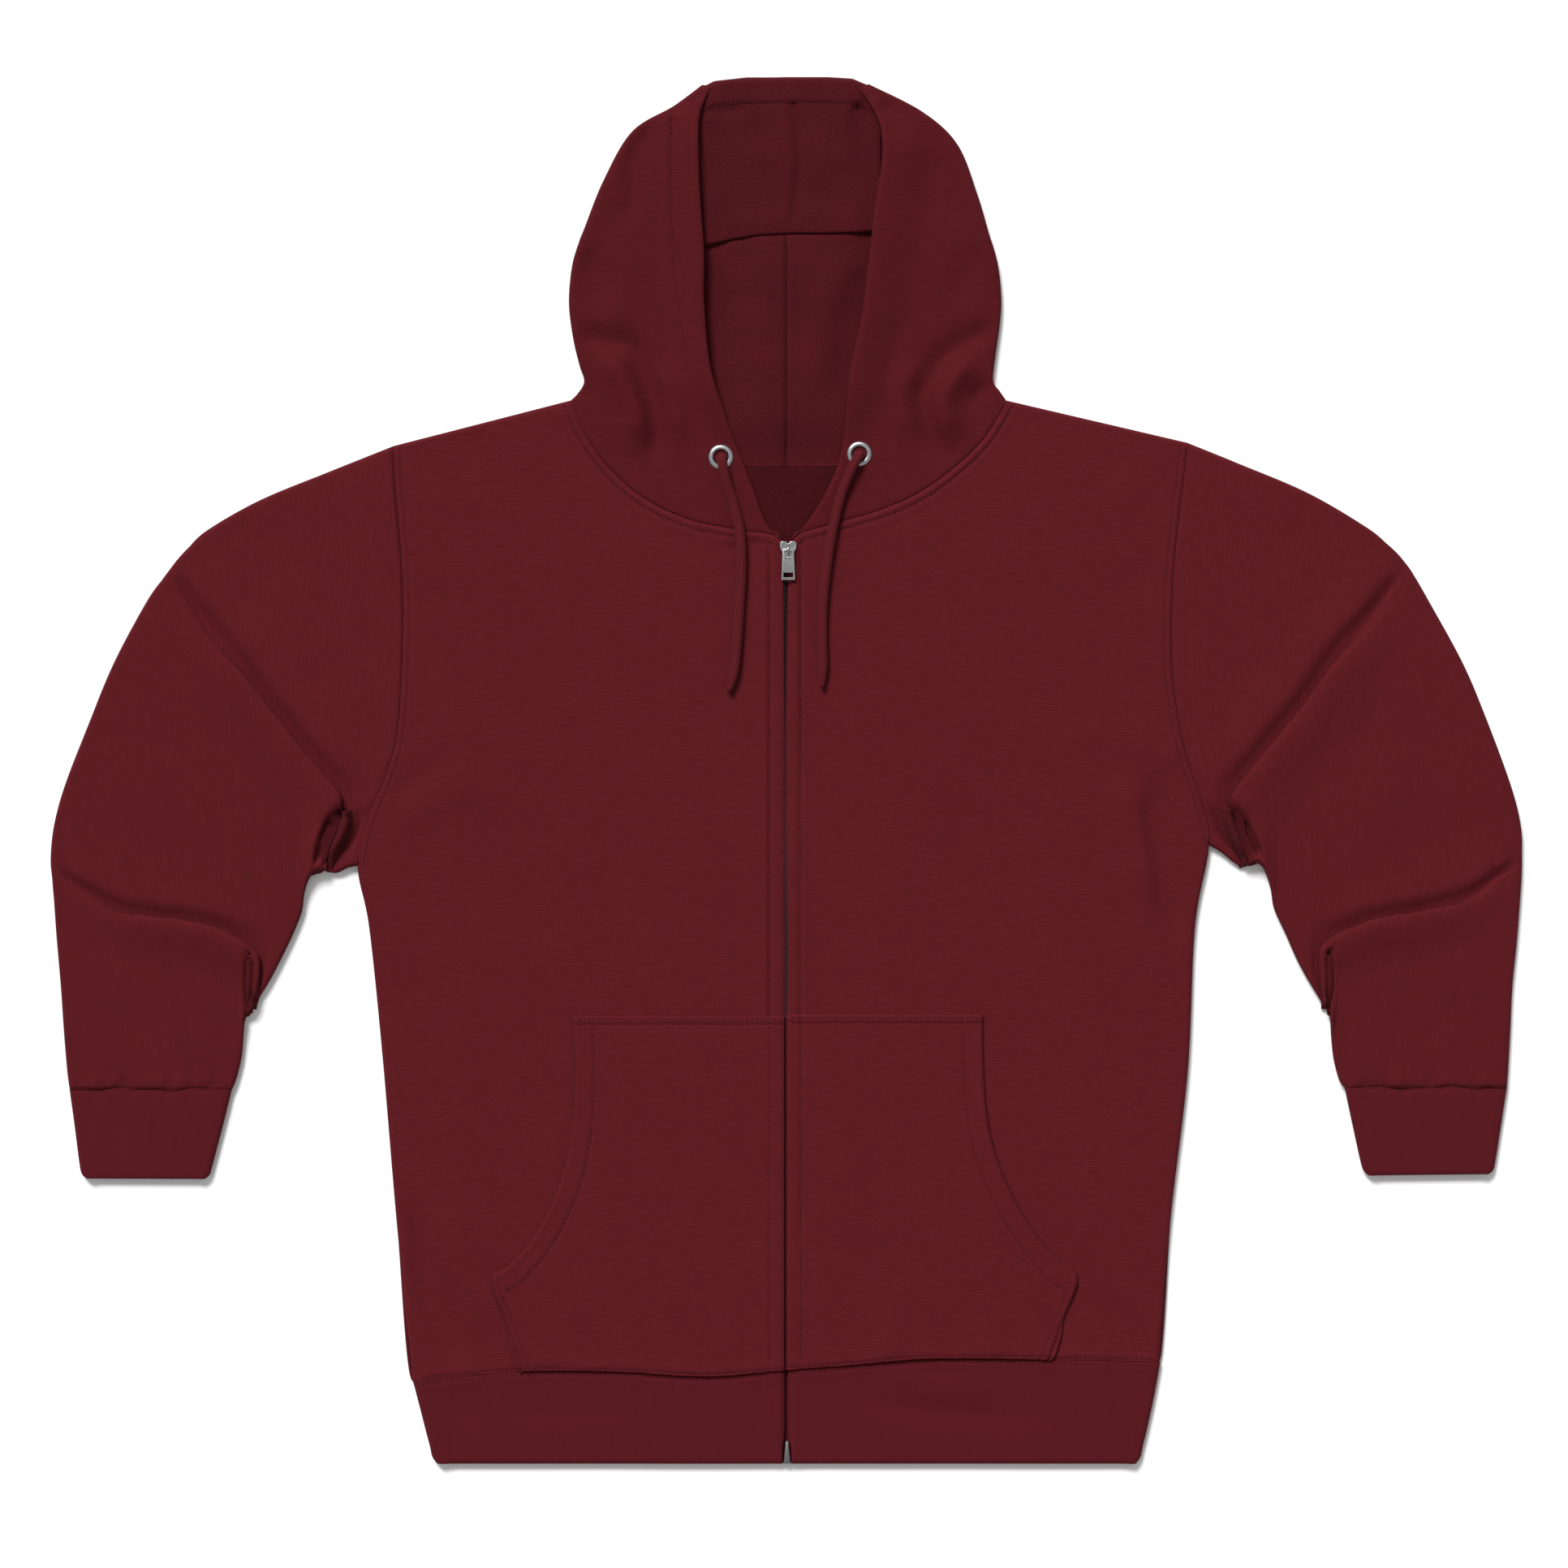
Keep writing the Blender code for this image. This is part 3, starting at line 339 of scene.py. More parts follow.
class Nodes:  # short names for building a material
    def __init__(self, name, colour, **settings):
        self.made = bpy.data.materials.new(name)
        self.made.use_nodes = True
        self.tree, self.plain = self.made.node_tree, colour
        self.join = self.tree.links.new
        self.shader = self.tree.nodes["Principled BSDF"]
        self.set(self.shader, settings)

    def set(self, node, values):
        for key, value in values.items():
            if hasattr(node, key):
                setattr(node, key, value)
            else:
                node.inputs[key.replace("_", " ")].default_value = value

    def add(self, kind, **values):
        node = self.tree.nodes.new(kind)
        self.set(node, values)
        return node

    def texture(self, kind, scale, space="UV", turn=0.0, **values):
        made = self.add(kind, **values)
        turned = self.add("ShaderNodeMapping", Scale=scale, Rotation=(0, 0, turn))
        self.join(self.add("ShaderNodeTexCoord").outputs[space], turned.inputs["Vector"])
        self.join(turned.outputs["Vector"], made.inputs["Vector"])
        return made

    def noise(self, scale, detail, roughness=0.5, space="UV"):
        return self.texture("ShaderNodeTexNoise", scale, space, Scale=1.0, Detail=detail, Roughness=roughness)

    def wave(self, way, scale, distortion, turn=0.0, **values):  # bands across the cloth, in millimetres
        values = {"bands_direction": way, "Scale": scale, "Distortion": distortion, "Detail": 1.0, **values}
        return self.texture("ShaderNodeTexWave", (1000, 1000, 1000), turn=turn, **values)

    def tones(self, source, dark, light, colour=None):  # dark and light: place, and share of the colour
        made = self.add("ShaderNodeValToRGB")
        for k, (at, share) in enumerate((dark, light)):
            stop = made.color_ramp.elements[k]
            stop.position = at
            stop.color = (*(min(part * share, 1) for part in colour or self.plain), 1)
        self.join(valueOf(source), made.inputs["Fac"])
        return made

    def blend(self, first, second, share):
        made = self.add("ShaderNodeMix", data_type="RGBA")
        made.inputs[0].default_value = share
        self.join(colourOf(first), made.inputs[6])
        self.join(colourOf(second), made.inputs[7])
        return made

    def finished(self, colour, bumps):  # bumps: source, strength and depth in mm, from the widest
        self.join(colourOf(colour), self.shader.inputs["Base Color"])
        target = self.shader
        for source, strength, depth in bumps[::-1]:
            made = self.add("ShaderNodeBump", Strength=strength, Distance=depth * mm)
            self.join(valueOf(source), made.inputs["Height"])
            self.join(made.outputs["Normal"], target.inputs["Normal"])
            target = made
        return self.made


clothLook = {
    "maroon": (0.0842, 0.0072, 0.0106),
    # painted shade: the hood's face is the body's fleece, made darker
    "shadedHoodMaroon": (0.0715, 0.0058, 0.0086),
    "ribMaroon": (0.0745, 0.0060, 0.0092),
    "napMaroon": (0.0600, 0.0045, 0.0070),
    # painted shade: a darker copy of the nap colour for the back's inside, which shows deep in the neck
    "shadedNapMaroon": (0.0430, 0.0027, 0.0042),
    "cord": (0.082, 0.0070, 0.0104),
    "tape": (0.05, 0.006, 0.008),
    "thread": (0.066, 0.0056, 0.0082),
    "shine": 0.08,
}


def fabric(name, colour, roughness, shine, sheen, sheenRoughness, sheenTint):
    return Nodes(
        name, colour, Roughness=roughness, Specular_IOR_Level=shine, Sheen_Weight=sheen,
        Sheen_Roughness=sheenRoughness, Sheen_Tint=(*sheenTint, 1),
    )


def knitCloth(name, colour):  # rows of fine loops, a heathered colour and a soft fuzz
    look = fabric(name, colour, 0.88, clothLook["shine"], 0.03, 0.45, (0.75, 0.25, 0.28))
    fleck, streak = look.noise((620, 800, 700), 4, 0.75), look.noise((130, 640, 200), 3, 0.65)
    flecks, streaks = look.tones(fleck, (0.25, 0.58), (0.8, 1.672)), look.tones(streak, (0.3, 0.58), (0.72, 1.42))
    patches = look.tones(look.noise((14, 14, 14), 3, 0.55), (0.3, 0.88), (0.75, 1.12))
    clouds = look.tones(look.noise((42, 50, 45), 3, 0.6), (0.3, 0.84), (0.75, 1.16))
    wales, courses = look.wave("X", 0.33, 1.2, Detail_Scale=1.5), look.wave("Y", 0.30, 1.6)
    colours = look.blend(look.blend(flecks, streaks, 0.5), look.blend(patches, clouds, 0.5), 0.4)
    bumps = [(streak, 0.35, 0.35), (wales, 0.25, 0.18), (courses, 0.4, 0.22), (fleck, 0.35, 0.3)]
    return look.finished(colours, bumps)


def nappedCloth(name, colour):  # brushed fleece: short matted fibres in tufts, with no visible rows
    look = fabric(name, colour, 0.95, 0.1, 0.05, 0.6, (0.6, 0.18, 0.2))
    tuft, fibre = look.noise((330, 420, 400), 4, 0.65), look.noise((1100, 800, 900), 3, 0.7)
    tufts, fibres = look.tones(tuft, (0.3, 0.58), (0.74, 1.42)), look.tones(fibre, (0.25, 0.78), (0.8, 1.25))
    patches = look.tones(look.noise((25, 20, 20), 2), (0.3, 0.74), (0.72, 1.28))
    colours = look.blend(look.blend(tufts, fibres, 0.4), patches, 0.45)
    return look.finished(colours, [(tuft, 0.8, 0.9), (fibre, 0.45, 0.4)])


def ribbedCloth(name, colour, pitch):  # fine ribs that run along the band's depth
    look = fabric(name, colour, 0.88, clothLook["shine"], 0.06, 0.5, (0.7, 0.24, 0.27))
    ribs = look.wave("X", 0.314 / pitch, 0.5)
    fleck, streak = look.noise((1000, 1000, 1000), 3, 0.7), look.noise((480, 30, 100), 2, 0.6)
    flecks, streaks = look.tones(fleck, (0.25, 0.84), (0.8, 1.22)), look.tones(streak, (0.3, 0.92), (0.72, 1.08))
    bumps = [(ribs, 0.2, 0.25), (streak, 0.15, 0.2), (fleck, 0.35, 0.25)]
    return look.finished(look.blend(flecks, streaks, 0.5), bumps)


def braid(name, colour):  # a flat braid: slanted strands that cross, with painted shade in the gaps between them
    look = fabric(name, colour, 0.82, clothLook["shine"], 0.06, 0.5, (0.8, 0.3, 0.33))
    both = look.add("ShaderNodeMath", operation="MAXIMUM")
    for k, slant in enumerate((0.75, -0.75)):
        look.join(valueOf(look.wave("Y", 0.24, 0.6, slant)), both.inputs[k])
    fleck = look.noise((900, 900, 900), 3, 0.7)
    # painted shade: the colour darkens between the strands and lightens on their crests
    strands, flecks = look.tones(both, (0.2, 0.72), (0.9, 1.15)), look.tones(fleck, (0.3, 0.85), (0.75, 1.2))
    return look.finished(look.blend(strands, flecks, 0.4), [(both, 0.6, 0.45), (fleck, 0.3, 0.2)])


def thread(name, colour):
    look = Nodes(name, colour, Roughness=0.6, Specular_IOR_Level=0.12)
    twist = look.noise((2500, 2500, 2500), 2, space="Object")
    return look.finished(look.tones(twist, (0.3, 0.8), (0.75, 1.25)), [(twist, 0.4, 0.1)])


def metal(name, colour, roughness, wear):
    look = Nodes(name, colour, Roughness=roughness, Metallic=1.0)
    scuff, grain = look.noise((600, 600, 600), 4, 0.65, "Object"), look.noise((4000, 500, 4000), 2, space="Object")
    rough = look.tones(scuff, (0.3, roughness + wear), (0.75, roughness), (1, 1, 1))
    look.join(colourOf(rough), look.shader.inputs["Roughness"])
    return look.finished(look.tones(scuff, (0.3, 1 - wear), (0.7, 1)), [(grain, 0.12, 0.05)])


fleece = knitCloth("fleeceFace", clothLook["maroon"])
# painted shade: the same knit as fleeceFace, darker for the hood
shadedHoodFleece = knitCloth("shadedHoodFleeceFace", clothLook["shadedHoodMaroon"])
fleeceNap = nappedCloth("fleeceNap", clothLook["napMaroon"])
# painted shade: the back's inside is the same nap, made darker where it lies deep in the neck
shadedBackNap = nappedCloth("fleeceNapPaintedShade", clothLook["shadedNapMaroon"])
ribKnit = ribbedCloth("ribKnit", clothLook["ribMaroon"], 1.5)
cordBraid = braid("cordBraid", clothLook["cord"])
tapeWeave = ribbedCloth("zipTapeWeave", clothLook["tape"], 0.8)
sewing = thread("sewingThread", clothLook["thread"])
brightMetal = metal("brightMetal", (0.46, 0.46, 0.47), 0.28, 0.16)
greyMetal = metal("greyMetal", (0.24, 0.24, 0.25), 0.38, 0.14)
toothPlastic = thread("zipTeeth", (0.035, 0.016, 0.018))
print("materials made")


cordRoutes = {
    "right": [
        (-43.5, 208.2, 7.2), (-43.4, 207.8, 9.2), (-43.2, 206.4, 11), (-42.4, 203.4, 11.9), (-41, 196.6, 11.9),
        (-38.5, 186.8, 10.9), (-35.6, 178.4, 10.3), (-30.8, 158.6, 10.5), (-29.7, 135.8, 10.5), (-30.8, 111.5, 10.5),
        (-32.4, 87.2, 10.5), (-34.6, 65.6, 10.5), (-38.3, 51.8, 10.5),
    ],
    "left": [
        (48.6, 210.3, 7.2), (48.5, 209.9, 9.2), (47.9, 208.5, 11), (46.5, 205.9, 11.9), (43.2, 199.6, 11.9),
        (39.4, 190.6, 10.9), (36.4, 182.6, 10.3), (32, 165.4, 10.5), (28.2, 144, 10.5), (25.2, 120, 10.5),
        (23.9, 96, 10.5), (24.4, 72, 10.5), (23.9, 54.4, 10.5),
    ],
}
cordEnds = {
    "width": 6.6, "height": 5.4, "diameter": 6.2, "grooveDepth": 0.3, "startRounding": 1.2, "endRounding": 2.2,
    "tipLength": 15.0, "tipWidth": {"right": 0.62, "left": 0.5},
}


def drawcord(side):
    path = curveOver(cordRoutes[side], 97)
    far = travelled(path)
    length = far[-1]
    tangent = unit(np.gradient(path, far, axis=0))
    across = unit(stacked(tangent[:, 1], -tangent[:, 0], np.zeros(len(path))))
    up = np.cross(across, tangent)

    def place(c, r):  # c goes round the cord, r along it, with its ends rounded
        turn, s = c * 2 * np.pi, np.clip(r, 0, 1) * length
        end = np.minimum(s / cordEnds["startRounding"], (length - s) / cordEnds["endRounding"])
        tip = mix(cordEnds["tipWidth"][side], 1, smooth((length - s) / cordEnds["tipLength"]))
        groove = 1 - cordEnds["grooveDepth"] * bell((turn - 1.15) / 0.2) - 0.12 * bell((turn - 4.3) / 0.3)
        closing = np.sqrt(1 - (1 - np.clip(end, 0, 1)) ** 2) * groove
        wide = cordEnds["width"] / 2 * np.cos(turn) * closing * tip
        high = cordEnds["height"] / 2 * np.sin(turn) * closing * (0.5 + tip / 2) - 0.3 * smooth(s / 20)
        spot = readAt(s, far, path) + wide[:, None] * readAt(s, far, across) + high[:, None] * readAt(s, far, up)
        return (*spot.T, c * 19, s)

    rows = np.concatenate([[0, 0.001, 0.003, 0.006], steps(0.012, 0.98, 84), [0.988, 0.994, 0.998, 1]])
    piece = gridPiece(
        "drawcordEnd", "drawcord", steps(0, 1, 28), rows, place, [cordBraid], closed=True, flip=True,
        side=side,
    )
    print(side, "drawcord end made,", round(length, 1), "mm long")


for side in sides:
    drawcord(side)

# The cut pieces, from the same rows as the solids. A front's rows: its outer and inner x, y, from the hem up.
frontRows = {
    "right": [
        (248.4, -405.8, 1.1, -399.3), (258.7, -307, 1.1, -307), (268.9, -188.2, 1.1, -188.2),
        (277.6, -104.5, 1.1, -104.5), (285.1, -63.5, 1.1, -58), (277, -29.4, 1.1, -30), (267, -5, 1.1, 0),
        (259.2, 22, 1.1, 35), (256, 60, 1.1, 80), (254.9, 95, 1.1, 125), (255, 118, 1.6, 153.1),
        (255.8, 138, 32, 160), (257, 155, 64, 166.6), (258.3, 170, 94, 180.6), (259.6, 185, 118.3, 201.7),
        (260.7, 200, 134, 224), (261.4, 215.7, 143.6, 246),
    ],
    "left": [
        (247.9, -393.4, 1.1, -398.8), (256, -296.2, 1.1, -296.2), (267.3, -199, 1.1, -199),
        (272, -104.5, 1.1, -104.5), (281.3, -50, 1.1, -54), (275.9, -20.3, 1.1, -25), (266.8, 6.8, 1.1, 5),
        (261, 32, 1.1, 40), (256.6, 65, 1.1, 85), (256, 98, 1.1, 125), (256.8, 122, 1.6, 152.8),
        (258.3, 143, 32, 164.2), (260, 160, 62, 173), (261.8, 175, 90.7, 186), (263.6, 189.5, 117.7, 206.6),
        (265.4, 204, 134, 224.4), (266.8, 217.9, 146.5, 246),
    ],
}
# The folds of the flat tubes: outer x, y, inner x, y and how far a sleeve's ring bows.
sleeveRings = {
    "right": [
        (307.3, 197.4, 292.1, -65.1, 14.4), (350.5, 179.6, 296.5, -67.5, 22.5), (385, 160, 300, -68.5, 27),
        (398, 148, 304, -68, 29.7), (405, 140.5, 309.5, -67, 31.5), (410, 134, 314.5, -68.5, 31.5),
        (414.6, 127.8, 318, -73.5, 29.7), (426.1, 111.5, 320.8, -83, 25.2), (447.7, 71, 322.5, -95, 18),
        (464.4, 30.5, 329, -111, 14.4), (480.1, -10, 336.5, -126.5, 18), (487.4, -37, 343, -139, 26.1),
        (489.6, -58.6, 350, -150.5, 36), (488.6, -72, 355.5, -159.5, 42.3), (488, -80, 358.5, -162.5, 44.1),
        (487.3, -88, 360.4, -168, 43.2), (485.6, -112, 361.3, -179, 37.8), (483, -142, 362.2, -190, 27),
        (480.7, -175, 364.5, -200.5, 14.4), (478.6, -200, 366.8, -208, 5.4), (476.8, -212.5, 368.8, -212.5, 0),
    ],
    "left": [
        (300, 204.5, 289, -54.5, 14.4), (347, 184.6, 296.5, -60.5, 22.5), (386, 161.8, 302.5, -64, 27),
        (400, 150.5, 307.5, -62.5, 29.7), (407, 144, 312.5, -61.5, 31.5), (412, 138, 316.5, -64, 31.5),
        (417, 131, 319.5, -70, 29.7), (428, 112, 322.5, -80, 25.2), (450.4, 71, 324.5, -92, 18),
        (466, 34, 332, -108.5, 14.4), (482.2, -10, 339.5, -125.5, 18), (488.9, -37, 346.5, -138.5, 26.1),
        (489.6, -57, 353.5, -150, 36), (489.4, -70, 358.3, -157.5, 42.3), (488.9, -78, 361, -160.5, 44.1),
        (488.3, -87, 361.9, -166.5, 43.2), (486.2, -114, 362.6, -178, 37.8), (483.3, -143, 363.8, -190, 27),
        (481.9, -172, 366, -200, 14.4), (480.5, -198, 368.5, -207.5, 5.4), (479.5, -211.4, 371.5, -211.4, 0),
    ],
}
cuffRings = {
    "right": [
        (476.9, -212.9, 368.9, -212.9), (473.5, -238, 375.3, -238.4), (470.4, -262, 381.8, -263),
        (468.9, -268.5, 383.6, -269), (465.9, -271.6, 386.6, -271.9),
    ],
    "left": [
        (479.4, -211.8, 371.6, -211.8), (475.6, -237, 377, -237), (472, -260, 382.3, -261),
        (470.6, -266, 384.3, -266.6), (467.6, -268.7, 387.4, -269.6),
    ],
}
# Fold x, y, face edge x, y and centre y.
hoodRows = {
    "right": [
        (143.6, 246, 1.6, 153.1, 202), (138.8, 250.8, 14, 163.4, 208), (134.5, 258.9, 23, 187, 218),
        (137.7, 269.7, 32.4, 211, 232), (142, 288.1, 41, 234, 254), (144.7, 311.3, 51.5, 268, 284),
        (142.6, 335.6, 55.6, 310, 318), (137.5, 353, 55.6, 338, 339), (134.5, 360.5, 56, 350, 352),
        (121.5, 392.9, 58.4, 384, 386), (102.6, 425.2, 59.4, 413, 418), (75.1, 442, 58.5, 436, 441),
        (56, 456, 51.5, 453.5, 461.3),
    ],
    "left": [
        (146.5, 246, 1.6, 152.8, 202), (142, 252.5, 13.5, 163, 208), (137.7, 259.4, 26, 182, 218),
        (139.3, 276.2, 36, 205, 232), (142, 295.7, 40.5, 232, 254), (143.1, 312.9, 43.5, 265, 284),
        (141.5, 332.9, 51, 300, 318), (138, 348, 54.6, 328, 339), (135.3, 356, 56.6, 343, 352),
        (126.9, 384.2, 60.6, 378, 386), (113.9, 416.6, 64.5, 404, 418), (90.7, 438.2, 63, 430, 441),
        (55, 456.4, 49.5, 454, 461.3),
    ],
}
pocketRows = {
    "right": [
        (142, -163.4), (140.9, -204.4), (143.1, -239.5), (150.7, -274.6), (166.9, -308.1), (184.5, -329),
        (196.6, -338.6), (187, -368), (176, -398.4),
    ],
    "left": [
        (131.2, -162.3), (131.8, -204.4), (136.1, -242.2), (147.4, -275.7), (165.2, -307), (182.5, -327.5),
        (194.4, -337.6), (185.2, -363.7), (175.4, -390.4),
    ],
}
hemSeam = [
    (-247.5, -406.8), (-175, -400), (-113, -400.2), (-53.5, -403.4), (0, -399.2), (43.7, -395.8), (97.7, -391.4),
    (173.3, -392.2), (247.7, -393.6),
]
# Right x, y, left x, y and the two ends at the zip.
bandRows = [
    (248.4, -407, 249, -393.8, 1.1, 1.1), (243.8, -424.5, 244.8, -417, 1.1, 1.1),
    (239.6, -441, 239.8, -440, 1.1, 1.1), (237.2, -450, 237.4, -449.5, 2.2, 3.2),
    (235.6, -457, 236, -456.5, 2.4, 3.4), (232.4, -461.3, 233, -461.3, 2.4, 3.4),
]
roll, seamGap, flatHeight = 3.3, 0.06, 6.6
edgeShare, quarter = 1 - 0.4 / roll, roll * np.pi / 2
armpitRow, neckRow, lastRow = 4, 10, 16
clothWall, ribWall, hoodWall, crownWall, rollWall = 1.8, 2.2, 1.6, 1.4, 1.2
cutOffset = 500  # from the garment's middle to where a piece's own u and v start

hemLine = curveOver(hemSeam, 321)


def hemY(x):
    return np.interp(x, hemLine[:, 0], hemLine[:, 1])


def straightHemY(x):
    return mix(hemSeam[0][1], hemSeam[-1][1], (x - hemSeam[0][0]) / (hemSeam[-1][0] - hemSeam[0][0]))


def seamOf(side, first, start):  # an edge of a front, in plan
    return curveOver(frontRows[side], 60, first, lastRow)[:, start : start + 2] * (sides[side], 1)


armholes = {side: seamOf(side, armpitRow, 0) for side in sides}
necks = {side: seamOf(side, neckRow, 2) for side in sides}

bodyFolds = [
    ([(-256, -272), (-250, -300), (-240, -335), (-226, -368), (-212, -400)], -2.2, 13, 8, 0.4, 0.2),
    ([(-232, -282), (-222, -318), (-208, -352), (-196, -384)], 1.1, 15, 18, 0.4, 0.3),
    ([(243, 4), (246, -26), (253, -62), (261, -100), (268, -135)], -3, 11, 8, 0.25, 0.4),
    ([(229, 2), (232, -30), (239, -66), (248, -106)], 2.3, 13, 8, 0.25, 0.4),
    ([(204, -338), (228, -369), (248, -396)], -1.2, 12, 8, 0.4, 0.2),
    ([(-157, -398), (-155, -376), (-146, -350)], 0.9, 6, 8, 0.1, 0.7),
    ([(-124, -399), (-126, -388), (-132, -376)], 0.7, 5, 7, 0.1, 0.7),
    ([(-64, -401), (-62, -384), (-66, -362)], 0.8, 6, 6, 0.1, 0.7),
    ([(72, -392), (70, -374), (80, -340), (88, -318)], 0.9, 7, 6, 0.1, 0.7),
    ([(140, -391), (136, -378), (150, -350)], 0.9, 7, 8, 0.1, 0.7),
    ([(27, -236), (36, -270), (46, -300), (58, -326)], 1.1, 12, 16, 0.4, 0.4),
    ([(-50, 143), (-36, 148), (-20, 150), (-12, 148)], -0.9, 4, 3, 0.4, 0.3),
    ([(-46, 128), (-30, 136), (-14, 138)], -0.5, 4, 4, 0.4, 0.3),
    ([(-262, -40), (-236, -22), (-200, -12), (-160, -10)], 0.8, 9, 14, 0.1, 0.7),
    ([(-262, -20), (-234, 4), (-196, 22)], -0.8, 10, 8, 0.1, 0.7),
    ([(262, 2), (236, 16), (204, 24), (170, 22)], 0.8, 14, 9, 0.1, 0.7),
    ([(-246, 120), (-216, 108), (-182, 104)], -0.5, 10, 12, 0.2, 0.7),
    ([(250, 140), (224, 120), (192, 110)], -0.6, 10, 12, 0.2, 0.7),
    ([(-246, 196), (-220, 176), (-196, 150)], 0.7, 12, 12, 0.3, 0.6),
    ([(246, 200), (222, 178), (200, 152)], 0.7, 12, 12, 0.3, 0.6),
    ([(-120, -20), (-100, -70), (-92, -120)], -0.5, 18, 22, 0.5, 0.5),
    ([(-142, -362), (-134, -380), (-128, -397)], -1, 4, 6, 0.5, 0.1),
    ([(-76, -356), (-68, -376), (-61, -399)], -1.2, 5, 7, 0.5, 0.1),
    ([(-26, -330), (-27, -364), (-24, -398)], -0.9, 5, 7, 0.5, 0.1),
    ([(96, -350), (104, -372), (108, -389)], -1, 6, 5, 0.5, 0.1),
    ([(168, -346), (176, -370), (178, -390)], -0.8, 6, 6, 0.5, 0.1),
    ([(126, 10), (112, -50), (108, -110)], -0.5, 22, 18, 0.5, 0.5),
]
placket = {"right": 11.3, "left": 9.4}  # from the zip line to the stitching on each side
topstitch = {"armhole": 4.3, "neck": 5.4, "hem": 2.3, "cuff": 2.4}  # from a seam to the stitching beside it

seamBody = ([0, 0.5, 1.2, 2.2, 3.2, 4.3, 5.2, 6.8, 9, 13], [-0.35, -0.2, 0.05, 0.3, 0.2, -0.35, 0.05, 0.25, 0.12, 0])
seamPlain = ([0, 0.5, 1.4, 3, 6], [-0.35, -0.2, 0, 0.15, 0])
seamNeck = ([0, 0.5, 1.2, 2.5, 4, 5.4, 6.6, 8.5, 12], [-0.6, -0.3, 0.15, 0.65, 0.5, -0.4, 0.2, 0.35, 0])
seamHem = ([0, 0.5, 1.2, 2, 2.8, 4, 6.5, 10], [-0.25, -0.1, 0.05, -0.25, 0.25, 0.4, 0.25, 0])
seamCasing = ([0, 0.8, 2.2, 6], [-1.7, -0.7, 0.5, 0])
seamCuff = ([0, 0.6, 1.6, 2.4, 3.4, 6, 10], [-0.15, 0, 0.12, -0.2, 0.35, 0.3, 0])


def hemShape(x, y):
    return seamed(x, y, hemLine + (0, 0.2), seamHem, pucker=0.35)


def broad(x, y):  # the slight waves of cloth that was smoothed by hand
    wave = 0.20 * np.sin(x / 31 + y / 47 + 0.6) + 0.16 * np.sin(x / 19 - y / 53 + 2.1)
    return wave + 0.14 * np.sin(y / 23 + x / 61 + 4.0)


def zipEdge(side, y):  # how far the zip stands open on this side
    gap = np.interp(y, [-60, -25, 28, 80, 127, 150], [0.10, 0.14, 0.3, 0.85, 1.35, 1.55])
    return gap + (0.5 if side == "right" else -0.5)  # the line lies a little to the wearer's right


def bodyTop(side, x, y):
    z = (1.45 * creased(x, y, bodyFolds) + broad(x, y)) * smooth(abs(y - hemY(x)) / 5)
    z = np.where(z < -1.6, -1.6 + np.tanh(z + 1.6), z)  # a trough stops at the back panel
    z += seamed(x, y, armholes[side], seamBody) + seamed(x, y, necks[side], seamNeck) + hemShape(x, y)
    s = placket[side]
    across = [0, 1.0, 1.8, 3.0, s - 5, s - 2, s - 0.7, s, s + 0.8, s + 2.5, s + 9]
    lift = np.interp(abs(x), across, [-1.2, -0.8, -0.1, 0.4, 0.8, 0.7, 0.3, -1.3, -0.05, 0.6, 0])
    return z + lift * smooth((160 - y) / 10)


# Inset and drop across a panel: round the side's fold below the armpit, and flat to its edge above.
def turnedUnder(c, r, length):
    distance = np.where(c > 1, quarter * (2 - c), quarter + (length - roll) * (1 - c))
    inset, drop = rolled(distance, roll)
    folded = smooth((armpitRow + 0.15 - r) / 0.22)
    return mix(mix(seamGap / 2, length, distance / (quarter + length - roll)), inset, folded), drop * folded


